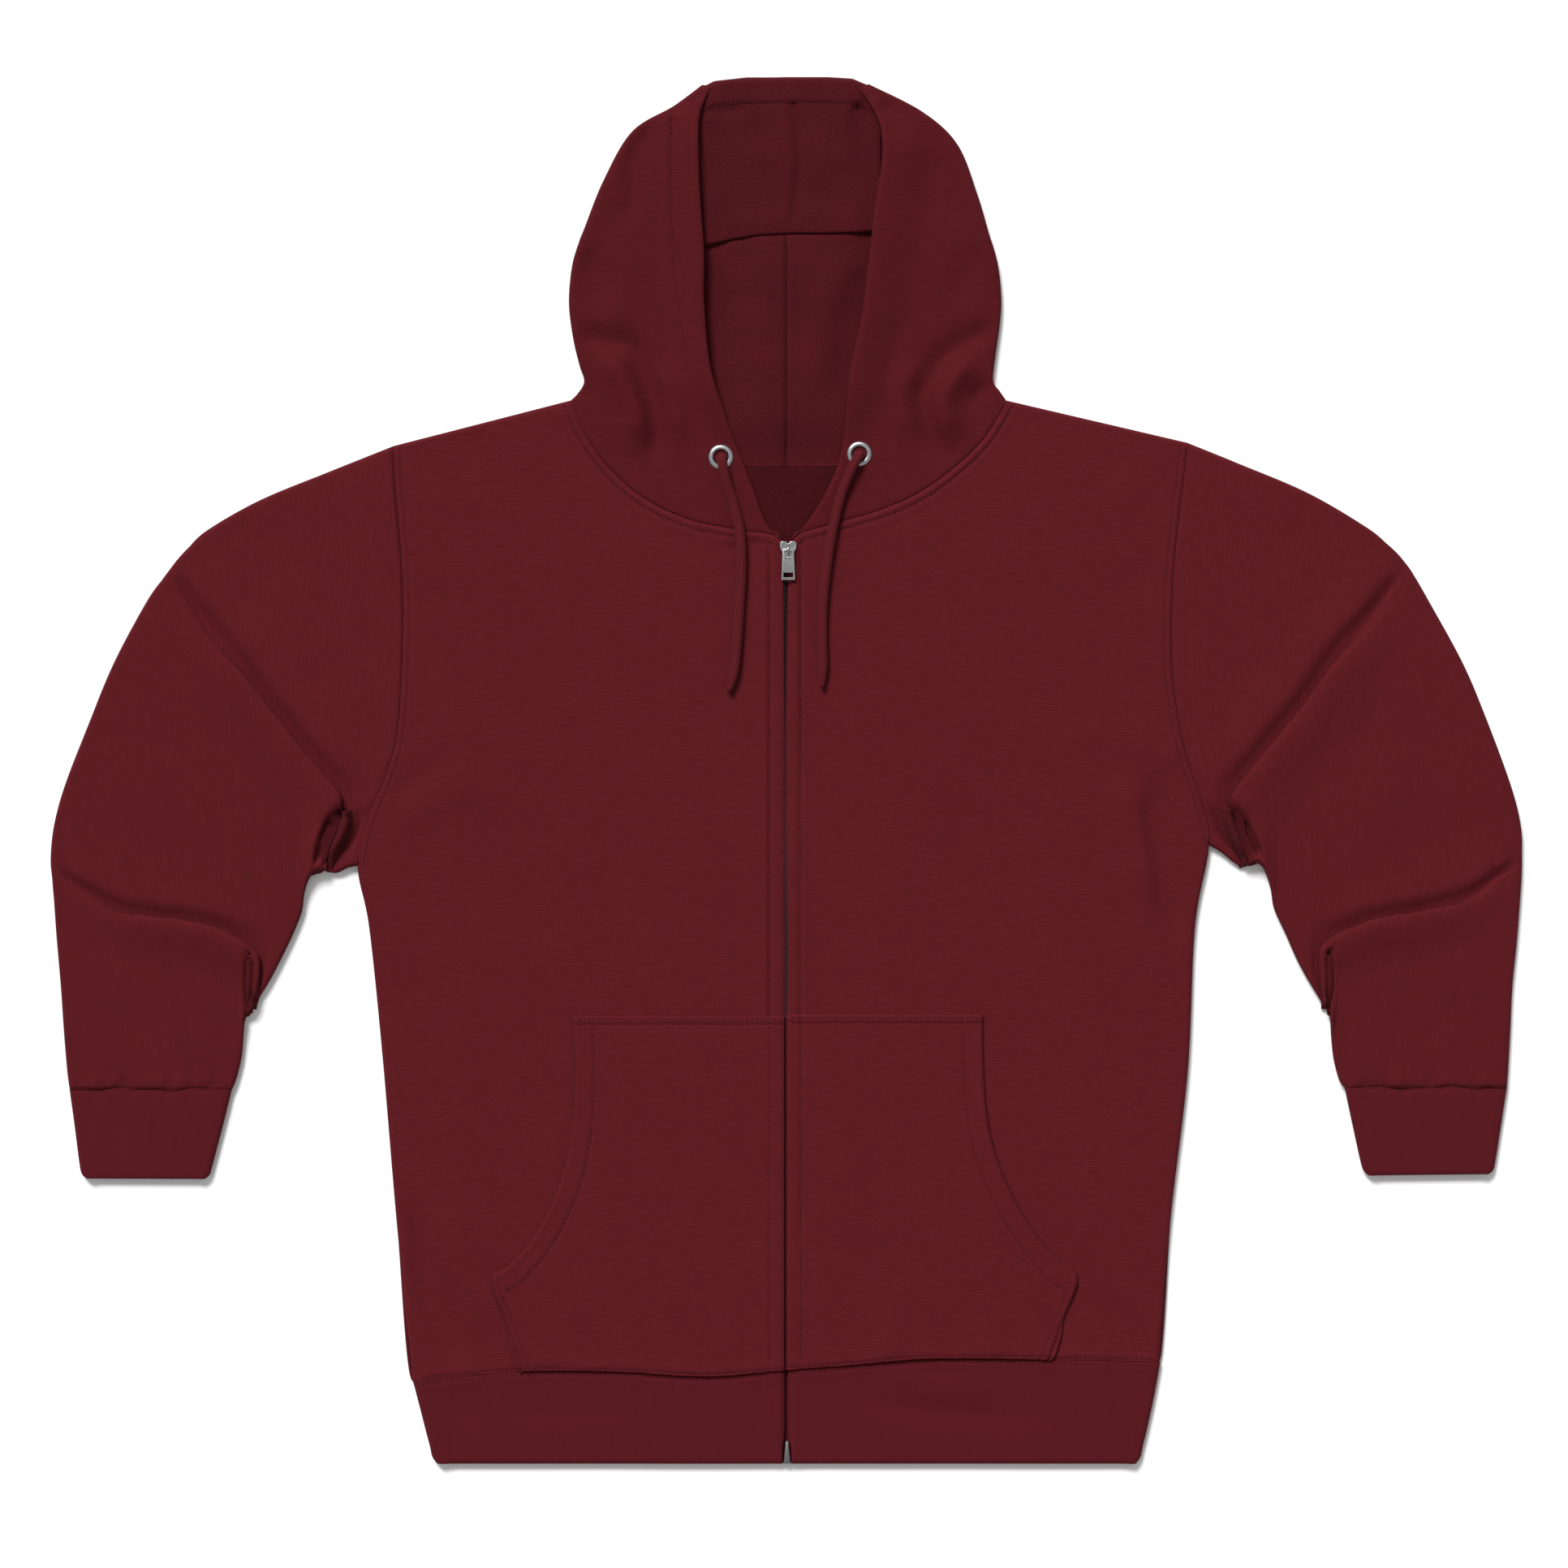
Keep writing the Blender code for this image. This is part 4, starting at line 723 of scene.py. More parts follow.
def frontPiece(side):
    table, sign = np.array(frontRows[side]), sides[side]

    def alongRow(c, r):
        line = curveAt(table, r)
        outer, inner = line[:, :2], line[:, 2:]
        length = np.linalg.norm(outer - inner, axis=1)
        inset, drop = turnedUnder(c, r, length)
        share = np.minimum(inset / length, 1 - smooth(r - neckRow + 1) * seamGap / length)
        return outer + (inner - outer) * share[:, None], drop, length * (1 - share)

    def place(c, r):
        level = np.minimum(r, lastRow)
        spot, drop, fromZip = alongRow(c, level)
        below, shoulder = (alongRow(c, np.full_like(r, k))[0] for k in (lastRow - 1, lastRow))
        reach = np.linalg.norm(shoulder - below, axis=1)[:, None]
        over = (r - lastRow)[:, None]
        inset, fall = rolled(quarter * (1 - np.clip(over, 0, 1)), roll)
        raised = below + (shoulder - below) * (over + 1) * (1 - roll / reach)
        folded = shoulder + (below - shoulder) * inset / reach
        x, y = np.where(over > -1, np.where(over > 0, folded, raised), spot).T
        drop = np.where(r > lastRow, fall[:, 0], drop)
        low = (r <= neckRow + 0.3) * smooth((14 - fromZip) / 13)
        x = (x + (zipEdge(side, y) - 1.1) * low * smooth((152 - y) / 20)) * sign
        y = y + (hemY(x) + seamGap / 2 - alongRow(c, np.zeros_like(r))[0][:, 1]) * smooth(1 - r)
        outer = curveAt(table, level)[:, :2] * (sign, 1)
        room = smooth((np.linalg.norm(outer - stacked(x, y), axis=1) - roll) / 12)
        room = np.where(r < armpitRow, room, np.maximum(room, smooth(r - armpitRow)))
        z = flatHeight - drop * edgeShare + bodyTop(side, x, y) * room * smooth((lastRow + 0.3 - r) / 0.6)
        return x, y, z, x + cutOffset, y + cutOffset

    marks = [
        [0, 0.4, 0.9, 1.6, 2.6, 4, 5.5, 7, 8.2, 8.9, 9.4, 10, 10.6, 11.3, 12, 13, 15], steps(18, 228, 60),
        [231.5, 235, 238, 240.4, 242.4, 243.8, 245, 246, 246.9, 247.7, 248.6, 249.7, 250.7, 251.3, 251.7],
    ]
    columns = np.concatenate([np.concatenate(marks) / 251.7, steps(1, 2, 6)[1:]])
    rows = [evenRows((table[:, :2] + table[:, 2:]) / 2, 3.3), steps(0, 0.12, 10), steps(lastRow - 1, lastRow, 8)]
    rows = np.unique(np.concatenate([*rows, lastRow + steps(0, 1, 6)]))
    finishes = [fleece, fleeceNap]
    return gridPiece("front", None, columns, rows, place, finishes, clothWall, flip=sign < 0, side=side)


def neckBend(x, foldX):
    return smooth((x - 24) / (foldX - 20))


def backNeckY(side, x):
    neck = frontRows[side][-1]
    return mix(hoodRows[side][0][4], neck[3], neckBend(x, neck[2]))


def mirrored(half):
    return np.concatenate([-half[:0:-1], half])


def backPiece():
    right, left = (np.array(frontRows[side]) for side in sides)

    def place(c, r):
        level, isLeft = np.minimum(r, lastRow), c > 0
        (rightX, rightY), (leftX, leftY) = (curveAt(table, level)[:, :2].T for table in (right, left))
        outer = np.where(isLeft, leftX, rightX)
        inset, drop = turnedUnder(abs(c), r, outer)
        x = np.where(isLeft, 1, -1) * (outer - inset)
        across = (x + rightX) / (rightX + leftX)
        topY, onShoulder = np.empty_like(x), np.empty_like(x)
        for side, mask in (("right", ~isLeft), ("left", isLeft)):
            outerX, outerY, neckX, neckY = frontRows[side][-1]
            ax = abs(x[mask])
            sloped = mix(neckY, outerY, (ax - neckX) / (outerX - neckX))
            topY[mask] = np.where(ax < neckX, backNeckY(side, ax) - seamGap, sloped)
            onShoulder[mask] = smooth((ax - neckX) / 3)
        y = mix(rightY, leftY, across)
        y = y + (topY - mix(right[-1, 1], left[-1, 1], across)) * smooth((level - 5) / (lastRow - 5))
        y = mix(y, straightHemY(x) + seamGap, smooth(1 - r))
        inset, rise = rolled(quarter * (lastRow + 1 - np.maximum(r, lastRow)), roll)
        high = r >= lastRow
        near = quarter * np.clip(r - lastRow + 1, 0, 1)
        y = y - np.where(high, mix(quarter * (lastRow + 1 - r), inset, onShoulder), near)
        drop = np.where(high, np.maximum(drop, rise * onShoulder), drop)
        return x, y, drop * edgeShare, x + cutOffset, y + cutOffset

    toNeck = (right[-1, 2] - roll) / right[-1, 0]
    columns = mirrored(stepped((0, toNeck, 1, 2), (26, 18, 5)))
    middle = stacked(right[:, 1] * 0, (right[:, 1] + left[:, 1]) / 2)
    rows = [evenRows(middle, 7), steps(lastRow - 6, lastRow, 40), lastRow + steps(0, 1, 5)]
    rows = np.unique(np.concatenate(rows))
    # the back's inside takes the darker nap: painted shade
    return gridPiece("backPanel", "back", columns, rows, place, [fleece, shadedBackNap], clothWall, flip=True)


# The cloth's path through a sleeve's pleats, along the sleeve from the crease and up from the floor, and
# the shares of the way across at which a pleat starts and is full.
sleevePleats = {
    "upper": [
        (-26, 6.6), (-18, 6.3), (-10, 5.4), (-4, 4.5), (1, 4.2), (6.5, 4.5), (8, 5.4), (6.5, 6.2), (2, 6.8),
        (-1, 7.6), (-2.4, 9), (-1.4, 10.5), (2, 11.4), (8, 11.2), (16, 10), (27, 8.2), (42, 6.6),
    ],
    "lower": [
        (-20, 6.6), (-14, 6.2), (-8, 5.3), (-3, 4.5), (1, 4.2), (6, 4.5), (7.3, 5.3), (6, 6.1), (2, 6.6), (-1, 7.3),
        (-2.3, 8.6), (-1.3, 9.9), (2, 10.6), (7, 10.3), (14, 9), (21, 7.6), (30, 6.6),
    ],
    "upperReach": (-0.02, 0.48),
    "lowerReach": (-0.02, 0.5),
}
# Each pleat's edge in plan, from the outer fold, round the end of its roll to the inner one.
pleatEdges = {
    "right": {
        "upper": [
            (-412, 136), (-406.6, 127.2), (-388.8, 100.7), (-366.7, 69.4), (-344, 39.2), (-321.8, 11.1), (-304, -8.9),
            (-295.6, -20), (-292.1, -28), (-292.1, -33.5), (-295.4, -42.4), (-299.7, -50), (-302.4, -58.6),
            (-302.2, -68),
        ],
        "lower": [
            (-492, -62), (-474.1, -75.9), (-464.4, -81.8), (-445, -93.7), (-421.2, -99.1), (-397.4, -102.3),
            (-378, -107.2), (-362.3, -115.3), (-352.6, -122.9), (-350.6, -130), (-351.6, -142), (-354.6, -154),
            (-356, -164),
        ],
    },
    "left": {
        "upper": [
            (414, 139), (408.8, 129.9), (389.9, 102.9), (369.9, 78), (347.2, 44.6), (327.2, 19.7), (307.3, -4.6),
            (297.6, -17), (293.6, -25.5), (293.8, -31), (295.9, -38.1), (299.7, -47.8), (303.5, -56.4), (306.6, -65),
        ],
        "lower": [
            (494, -58), (471.4, -72.6), (462, -80), (447.7, -87.8), (418, -96.4), (394.7, -100.2), (369.4, -109.4),
            (360, -115.4), (355.4, -121), (355, -130), (356.4, -144), (358.4, -154), (359, -164),
        ],
    },
}
# The hollow at the inner end of each pleat: its edge on the lower part of the sleeve, and the ridge of
# the roll's end with how far it reaches to that edge and to the valley beyond.
rollEnds = {
    "right": {
        "upper": {
            "hollow": [(-297.6, -27.4), (-304, -33), (-308.3, -41.3), (-310.5, -50), (-312, -56.5)],
            "ridge": [(-292.4, -27), (-292.1, -33), (-295.4, -42.4), (-299.7, -50), (-302.4, -58.6), (-302.2, -65.6)],
            "reach": [(5.2, 5), (9.8, 7), (13.2, 5.8), (11.2, 3.6), (8.5, 2.8), (4.5, 2.4)],
        },
        "lower": {
            "hollow": [(-357.6, -127), (-358.8, -136.9), (-359.2, -147.7), (-359.4, -160)],
            "ridge": [(-354.2, -125.2), (-353.4, -133.1), (-354.2, -145), (-355.8, -158)],
            "reach": [(3, 5.5), (5.2, 5.8), (4.8, 5), (3.2, 3)],
        },
    },
    "left": {
        "upper": {
            "hollow": [(298.8, -26.6), (305.1, -32), (308.9, -40.2), (312.1, -47.8), (314.6, -54)],
            "ridge": [(293.8, -25.6), (293.8, -31), (295.9, -38.1), (299.7, -47.8), (303.5, -56.4), (306, -63)],
            "reach": [(5, 5), (10.6, 7), (12.6, 5.8), (11.4, 3.8), (8.6, 3), (4.5, 2.4)],
        },
        "lower": {
            "hollow": [(361.2, -124.6), (361.9, -136.9), (361.9, -147.7), (361.6, -160)],
            "ridge": [(358.4, -122.6), (358.2, -133.1), (358.6, -145), (359, -158)],
            "reach": [(2.6, 5), (3.9, 5.4), (3.6, 4.8), (2.8, 3)],
        },
    },
}
# Across the roll's end, from the hollow to the valley, and up.
rollProfiles = {
    "upper": [
        (-1, 3.4), (-0.6, 3.5), (-0.4, 4), (-0.24, 6), (-0.13, 9.6), (-0.05, 11.6), (0, 12), (0.08, 11.6), (0.2, 9.4),
        (0.32, 6.2), (0.5, 3.8), (0.75, 2.8), (1, 2.2),
    ],
    "lower": [
        (-1, 3.6), (-0.75, 3.8), (-0.5, 5.6), (-0.25, 7.8), (-0.08, 8.5), (0.06, 8.3), (0.18, 7.4), (0.28, 6.5),
        (0.4, 7.8), (0.54, 8.9), (0.66, 8.4), (0.82, 5.6), (1, 3.2),
    ],
}
sleeveFolds = {
    "right": [
        ([(-322, 172), (-340, 140), (-366, 108), (-396, 84)], -0.9, 14, 18, 0.3, 0.5),
        ([(-276, 110), (-300, 70), (-330, 40)], -0.7, 14, 16, 0.4, 0.4),
        ([(-430, 20), (-400, -10), (-372, -52)], 0.8, 16, 18, 0.4, 0.4),
        ([(-468, -30), (-440, -44), (-410, -60), (-384, -84)], -0.8, 12, 16, 0.3, 0.5),
        ([(-452, -152), (-430, -172), (-404, -184)], -0.7, 10, 12, 0.3, 0.4),
    ],
    "left": [
        ([(328, 178), (346, 146), (370, 112), (398, 88)], -0.9, 18, 14, 0.3, 0.5),
        ([(280, 116), (302, 76), (332, 44)], -0.7, 16, 14, 0.4, 0.4),
        ([(432, 22), (402, -8), (374, -50)], 0.8, 18, 16, 0.4, 0.4),
        ([(468, -26), (440, -42), (410, -58), (386, -82)], -0.8, 16, 12, 0.3, 0.5),
        ([(454, -150), (432, -170), (406, -182)], -0.7, 12, 10, 0.3, 0.4),
    ],
}
# The trough beside each pleat: its height and width, and how far off and how wide the swell beyond it is.
sleeveTroughs = {"upper": (-2.8, 6.5, 10.5, 17), "lower": (-1.9, 5, 8, 12)}
rollTroughs = {"upper": (-2.8, 6.5), "lower": (-2.0, 4)}  # round each roll's end: height and width
hollowFloor, hollowRounding = 3.8, 3.5
sleeveLines, sleevePoints = 120, 400  # how finely a sleeve is mapped, across and along


def insideOf(x, y, outline):  # which points are inside an outline in plan
    near = within(x, y, outline)
    px, py = x[near], y[near]
    found = np.zeros(len(near), bool)
    for (x1, y1), (x2, y2) in zip(outline, np.roll(outline, -1, axis=0)):
        if y1 != y2:
            crosses = (y1 > py) != (y2 > py)
            found ^= crosses & (px < (x2 - x1) * (py - y1) / (y2 - y1) + x1)
    inside = np.zeros(len(x), bool)
    inside[near] = found
    return inside


# The sleeve in plan: point(share across, distance along), values read at a share across, its lengths,
# where its pleats cross it, and its width at a distance along its middle.
def sleeveMap(side):
    lines = [curveOver(frontRows[side], 97, lastRow, armpitRow)[:, :2] + (seamGap, 0)]
    a = np.linspace(0, 1, 97)[:, None]
    for row in np.array(sleeveRings[side]):
        outer, inner, bow = row[:2], row[2:4], row[4]
        across = (inner - outer) / np.linalg.norm(inner - outer)
        lines.append(mix(outer, inner, a) + np.array([across[1], -across[0]]) * bow * a**1.9 * (1 - a**3))
    rings = np.array([travelled(line)[-1] for line in lines])
    shares = steps(0, 1, sleeveLines)
    even = np.array([readAt(shares, travelled(line) / length, line) for line, length in zip(lines, rings)])
    ring = steps(0, len(lines) - 1, 10 * (len(lines) - 1))
    fine = curveAt(even.reshape(len(lines), -1), ring).reshape(len(ring), len(shares), 2).transpose(1, 0, 2)
    far = np.array([travelled(line) for line in fine])
    total = far[:, -1]
    grid = np.array([readAt(steps(0, at[-1], sleevePoints), at, line) for at, line in zip(far, fine)])
    crossing = {}
    for name, edge in pleatEdges[side].items():  # where each line down the sleeve meets a pleat's edge
        spots = grid.reshape(-1, 2) * (sides[side], 1)
        near, away, _, _ = nearLine(*spots.T, edge, 60)
        signed = np.full(len(spots), np.nan)
        signed[near] = -away * sides[side]
        signed = signed.reshape(len(shares), -1)
        past = (signed[:, :-1] < 0) & (signed[:, 1:] >= 0)
        known = np.nonzero(past.any(1))[0]
        at = total[known] * (past[known].argmax(1) + 0.5) / sleevePoints
        crossing[name] = np.interp(np.arange(len(shares)), known, at)
    middle = np.linspace(0, total[sleeveLines // 2], 200)
    ringAt = np.interp(middle, far[sleeveLines // 2], ring)

    def along(values, f):
        return np.interp(f, shares, values)

    def point(f, s):
        i = np.clip(f * sleeveLines, 0, sleeveLines - 0.001)
        j = np.clip(s / along(total, f) * sleevePoints, 0, sleevePoints - 0.001)
        i0, j0 = i.astype(int), j.astype(int)
        fi, fj = (i - i0)[:, None], (j - j0)[:, None]
        before, after = (grid[i0, k] * (1 - fi) + grid[i0 + 1, k] * fi for k in (j0, j0 + 1))
        return (before * (1 - fj) + after * fj).T

    def width(s):
        return np.interp(np.interp(s, middle, ringAt), np.arange(len(rings)), rings)

    return point, along, total, crossing, width


def cuffPucker(x):  # the small gathers where the sleeve is eased on to the cuff
    return 0.45 * np.sin(x / 2.3 + 0.7) + 0.4 * np.sin(x / 4.9) + 0.3 * np.sin(x / 9.3 + 1.9)


def cuffWave(x):  # the seam's own slight waves, eased on to the rib
    return 0.8 * np.sin(abs(x) / 8.5) + 0.5 * np.sin(abs(x) / 3.9 + 1)


def around(c, length):  # distance from a flat tube's outer fold, and height from -1 to 1
    flat = length - 2 * roll
    low, high = np.where(c <= 1, c, c - 6) * np.pi / 2, (3 - c) * np.pi / 2
    outer, inner, above = (c <= 1) | (c >= 5), (c > 2) & (c < 4), c <= 2
    distance = np.where(above, roll + flat * (c - 1), roll + flat * (5 - c))
    distance = np.where(inner, length - roll * (1 - np.cos(high)), distance)
    level = np.where(outer, np.sin(low), np.where(inner, np.sin(high), np.where(above, 1.0, -1.0)))
    return np.where(outer, roll * (1 - np.cos(low)), distance), level


def tubeHeight(level, top):
    return np.where(level >= 0, roll + level * (top - roll), roll * (1 + level))


def sleevePiece(side):
    sign = sides[side]
    point, along, total, crossing, width = sleeveMap(side)
    pleats = ("upper", "lower")
    paths = {name: np.array(sleevePleats[name], float) for name in pleats}
    rooms = {
        name: np.concatenate([evenLine(end["hollow"], 1.0), evenLine(end["ridge"], 1.0)[::-1]])
        for name, end in rollEnds[side].items()
    }

    def handed(line, height, first, second, fadeIn, fadeOut):
        return (line, height, *((first, second) if sign < 0 else (second, first)), fadeIn, fadeOut)

    beside = []  # the trough that runs along each pleat, on the side towards the armhole
    for name, (depth, near, away, far) in sleeveTroughs.items():
        line = pleatEdges[side][name][:9]
        beside.append(handed(line, depth, 1.4, near, 0.12, 0.02))
        beside.append(handed(offsetLine(line, away * sign)[::6], -depth * 0.9, away * 0.55, far, 0.2, 0.2))
    for name, (depth, reach) in rollTroughs.items():  # and round the roll's end
        line = np.array(rollEnds[side][name]["ridge"], float) + (-reach * sign * 1.1, 3)
        beside.append((line, depth, reach, reach, 0.15, 0.35))
    lip = offsetLine(rollEnds[side]["upper"]["hollow"], 3.0 * sign)  # the hollow's other edge stands up
    beside.append(handed(lip[::4], 3.6, 5, 3.4, 0.15, 0.75))
    # A row's plain place is between two of six marks along the sleeve: 0 armhole, 1-2 the upper pleat,
    # 3-4 the lower pleat, 5 the cuff.
    zones = [steps(0, 1, count) for count in (44, 64, 46, 58, 30)]
    zones[:4] = [t[:-1] for t in zones[:4]]
    plain = np.concatenate([k + t for k, t in enumerate(zones)])
    extra, rise = ({name: np.zeros(len(plain)) for name in pleats} for _ in range(2))
    for name, k in (("upper", 1), ("lower", 3)):
        path = evenLine(paths[name], 0.25)
        far = travelled(path)
        p, z = readAt(zones[k] * far[-1], far, path).T
        here = plain.astype(int) == k
        extra[name][here] = p - mix(path[0, 0], path[-1, 0], zones[k])
        rise[name][here] = z - flatHeight
    marks = [crossing[name] + paths[name][end, 0] for name in pleats for end in (0, -1)]
    marks = np.array([total * 0, *marks, total])
    for k in range(1, 6):  # where the sleeve is short, at its inner edge, the marks keep their order
        marks[k] = np.maximum(marks[k], marks[k - 1] + 3)
    marks = np.minimum(marks, total - (5 - np.arange(6))[:, None])

    def place(c, r):
        j = r.astype(int)
        zone = np.minimum(plain[j].astype(int), 4)
        part = plain[j] - zone
        middle = marks[:, sleeveLines // 2]
        length = width(mix(middle[zone], middle[zone + 1], part))
        distance, level = around(c, length)
        f = distance / length
        ends = np.array([along(mark, f) for mark in marks])
        count = np.arange(len(f))
        s = mix(ends[zone, count], ends[zone + 1, count], part)
        top = np.full_like(f, flatHeight)
        for name in pleats:
            first, full = sleevePleats[name + "Reach"]
            amount = smooth((f - first) / (full - first))
            s = s + extra[name][j] * amount * smooth((level + 1) / 2)
            top = top + rise[name][j] * amount
        x, y = point(f, s)
        x = x * sign
        shape = creased(x, y, sleeveFolds[side]) + 0.8 * broad(x, y) + creased(x, y, beside)
        shape += seamed(x, y, armholes[side], seamPlain)
        shape *= smooth((flatHeight + 3.6 - top) / 3) * smooth((top - 4.4) / 1.8)  # what is folded under stays put
        toCuff = along(total, f) - s
        shape *= smooth(toCuff / 7)
        shape += np.interp(toCuff, *seamCuff) + 1.5 * cuffPucker(x) * smooth(toCuff / 2) * bell(toCuff / 9)
        y = y + cuffWave(x) * bell(toCuff / 8)
        z = tubeHeight(level, top + shape * smooth(np.minimum(distance, length - distance) / 14 - 0.1))
        for name, end in rollEnds[side].items():
            hollow = insideOf(x, y, rooms[name])
            near, away, _, _ = nearLine(x, y, end["hollow"], 6)
            rounding = np.zeros_like(x)
            rounding[near] = 1 - np.sqrt(1 - np.clip(1 - abs(away) / hollowRounding, 0, 0.98) ** 2)
            z = np.where((level >= 0) & ~hollow, z - rounding * np.maximum(z - 3, 0), z)
            z = np.where(hollow, np.minimum(z, hollowFloor), z)
        return x, y, z, distance + 100, s + 20

    columns = stepped((0, 1, 2, 4, 5, 6), (4, 62, 10, 24, 4))
    piece = gridPiece(
        "sleeve", None, columns, np.arange(len(plain)), place, [fleece, fleeceNap], clothWall, closed=True,
        flip=sign < 0, side=side,
    )
    x, y, z = np.array([face.center[:] for face in piece.data.polygons]).T / mm
    for room in rooms.values():  # painted shade: faces on the floor of each pleat's hollow take the darker brushed-side finish, to darken the hollow
        for k in np.nonzero(insideOf(x, y, room) & (z > 2) & (z < 5))[0]:
            piece.data.polygons[k].material_index = 1
    return piece


def rollEndPiece(side, name):  # where a pleat's roll turns back on itself, beside the hollow
    end, profile, spacing = rollEnds[side][name], np.array(rollProfiles[name]), 0.8
    ridge = evenLine(end["ridge"], spacing)
    reach = curveOver(end["reach"], len(ridge))
    tangent = unit(stacked(*(runningMean(column, 5) for column in np.gradient(ridge, axis=0).T)))
    across = -toRight(tangent) * sides[side]  # towards the body
    last = len(ridge) - 1
    each = np.arange(last + 1)

    def place(c, r):
        k = np.clip(r, 0, 1) * last
        wide = readAt(k, each, reach)
        out = c * np.where(c < 0, wide[:, 0], wide[:, 1])
        x, y = (readAt(k, each, ridge) + readAt(k, each, across) * out[:, None]).T
        ending = (last - k) * spacing
        z = 2.2 + (np.interp(c, *profile.T) - 2.2) * (1 - 0.6 * smooth(1 - ending / 15))
        z = z * (1 - 0.8 * (1 - np.sqrt(1 - np.clip(1 - ending / 3.5, 0, 1) ** 2)))
        z = z + 1.3 * smooth(1 - k * spacing / 5) * bell(c / 0.4)
        return x, y, z, out + 300, k + 400

    return gridPiece(
        named(named("sleeveRollEnd", name), side), None, steps(-1, 1, 32), steps(0, 1, last), place,
        [fleece, fleeceNap], rollWall, flip=sides[side] < 0,
    )


def cuffPiece(side):
    sign, table = sides[side], np.array(cuffRings[side])
    farRows = travelled((table[:, :2] + table[:, 2:]) / 2)
    last = farRows[-1]
    profile = ([0, 0.6, 1.5, 2.4, 3.5, 7, last - 3, last - 1.2, last], [-0.15, 0, 0.15, -0.1, 0.25, 0.1, 0, -0.4, -1.2])

    def place(c, r):
        line = curveAt(table, r)
        outer, inner = line[:, :2], line[:, 2:]
        length = np.linalg.norm(inner - outer, axis=1)
        distance, level = around(c, length)
        x, y = mix(outer, inner, (distance / length)[:, None]).T
        far = np.interp(r, np.arange(len(table)), farRows)
        ripple = 0.3 * np.sin(distance / 1.9 + 1) + 0.3 * np.sin(distance / 3.7)
        shape = np.interp(far, *profile) + ripple * bell(far / 5) * smooth(far / 2)
        z = tubeHeight(level, flatHeight + shape * smooth(np.minimum(distance, length - distance) / 8))
        y = y + cuffWave(x) * bell(far / 8) + 0.38 * bell(far / 4)
        return x * sign, y, z, distance * 108 / length + 100, far + 20

    columns, rows = stepped((0, 1, 2, 4, 5, 6), (4, 44, 8, 18, 4)), stepped((0, 0.15, 3, 4), (6, 20, 5))
    return gridPiece(
        "cuff", None, columns, rows, place, [ribKnit], ribWall, closed=True, flip=sign < 0, side=side
    )


bandFolds = [
    ([(40, -414), (80, -424), (142, -430), (188, -424)], -1.7, 7, 8, 0.3, 0.5),
    ([(60, -404), (110, -409), (160, -412)], 0.7, 8, 6, 0.4, 0.4),
    ([(-200, -418), (-150, -426), (-96, -424)], -0.6, 9, 9, 0.4, 0.4),
    ([(-225, -410), (-214, -428), (-208, -446)], -0.6, 7, 8, 0.2, 0.5),
]
bandLook = {  # heights across the zip's side, and up from the lower edge
    "atZip": ([1, 2.4, 3.4, 5, 8.5, 9.4, 10.3, 14], [-1.2, -0.6, 0.1, 0.3, 0.3, -0.2, 0.2, 0]),
    "lowerEdge": ([-461.3, -460.4, -459, -457], [-1.6, -0.8, -0.2, 0]),
}


def waistbandPiece():
    table = np.array(bandRows)

    def place(c, r):
        part, band, isLeft = abs(c), curveAt(table, r), c > 0
        rightX, rightY, leftX, leftY, rightEnd, leftEnd = band.T
        width, end = np.where(isLeft, leftX, rightX), np.where(isLeft, leftEnd, rightEnd)
        turn = (np.clip(part, 1, 3) - 2) * np.pi / 2
        distance = np.where(part < 3, roll * (1 - np.cos(turn)), roll + (width - roll - end) * (part - 3))
        distance = np.where(part <= 1, width - (width - roll) * part, distance)
        level = np.where(part <= 1, -1, np.where(part < 3, np.sin(turn), 1))
        x = np.where(isLeft, 1, -1) * (width - distance)
        share = (x + rightX) / (rightX + leftX)
        seam = mix(straightHemY(x), hemY(x), (level + 1) / 2)
        y = mix(rightY, leftY, share) + (seam - seamGap / 2 - mix(table[0, 1], table[0, 3], share)) * smooth(1 - r)
        shape = (creased(x, y, bandFolds) + 0.6 * broad(x, y)) * smooth(abs(y - hemY(x)) / 8) + hemShape(x, y)
        shape += np.interp(abs(x), *bandLook["atZip"]) * (level > 0) + np.interp(y, *bandLook["lowerEdge"])
        z = roll * (1 + level) + shape * np.maximum(level, 0) * smooth(distance / 12)
        return x, y, z, x + cutOffset, y + cutOffset

    columns = mirrored(np.concatenate([stepped((0, 1, 3, 3.97), (34, 8, 80)), [3.977, 3.984, 3.99, 3.995, 4]]))
    rows = stepped((0, 0.5, 4, 5), (10, 17, 5))
    return gridPiece("waistbandRib", "waistband", columns, rows, place, [ribKnit], ribWall)


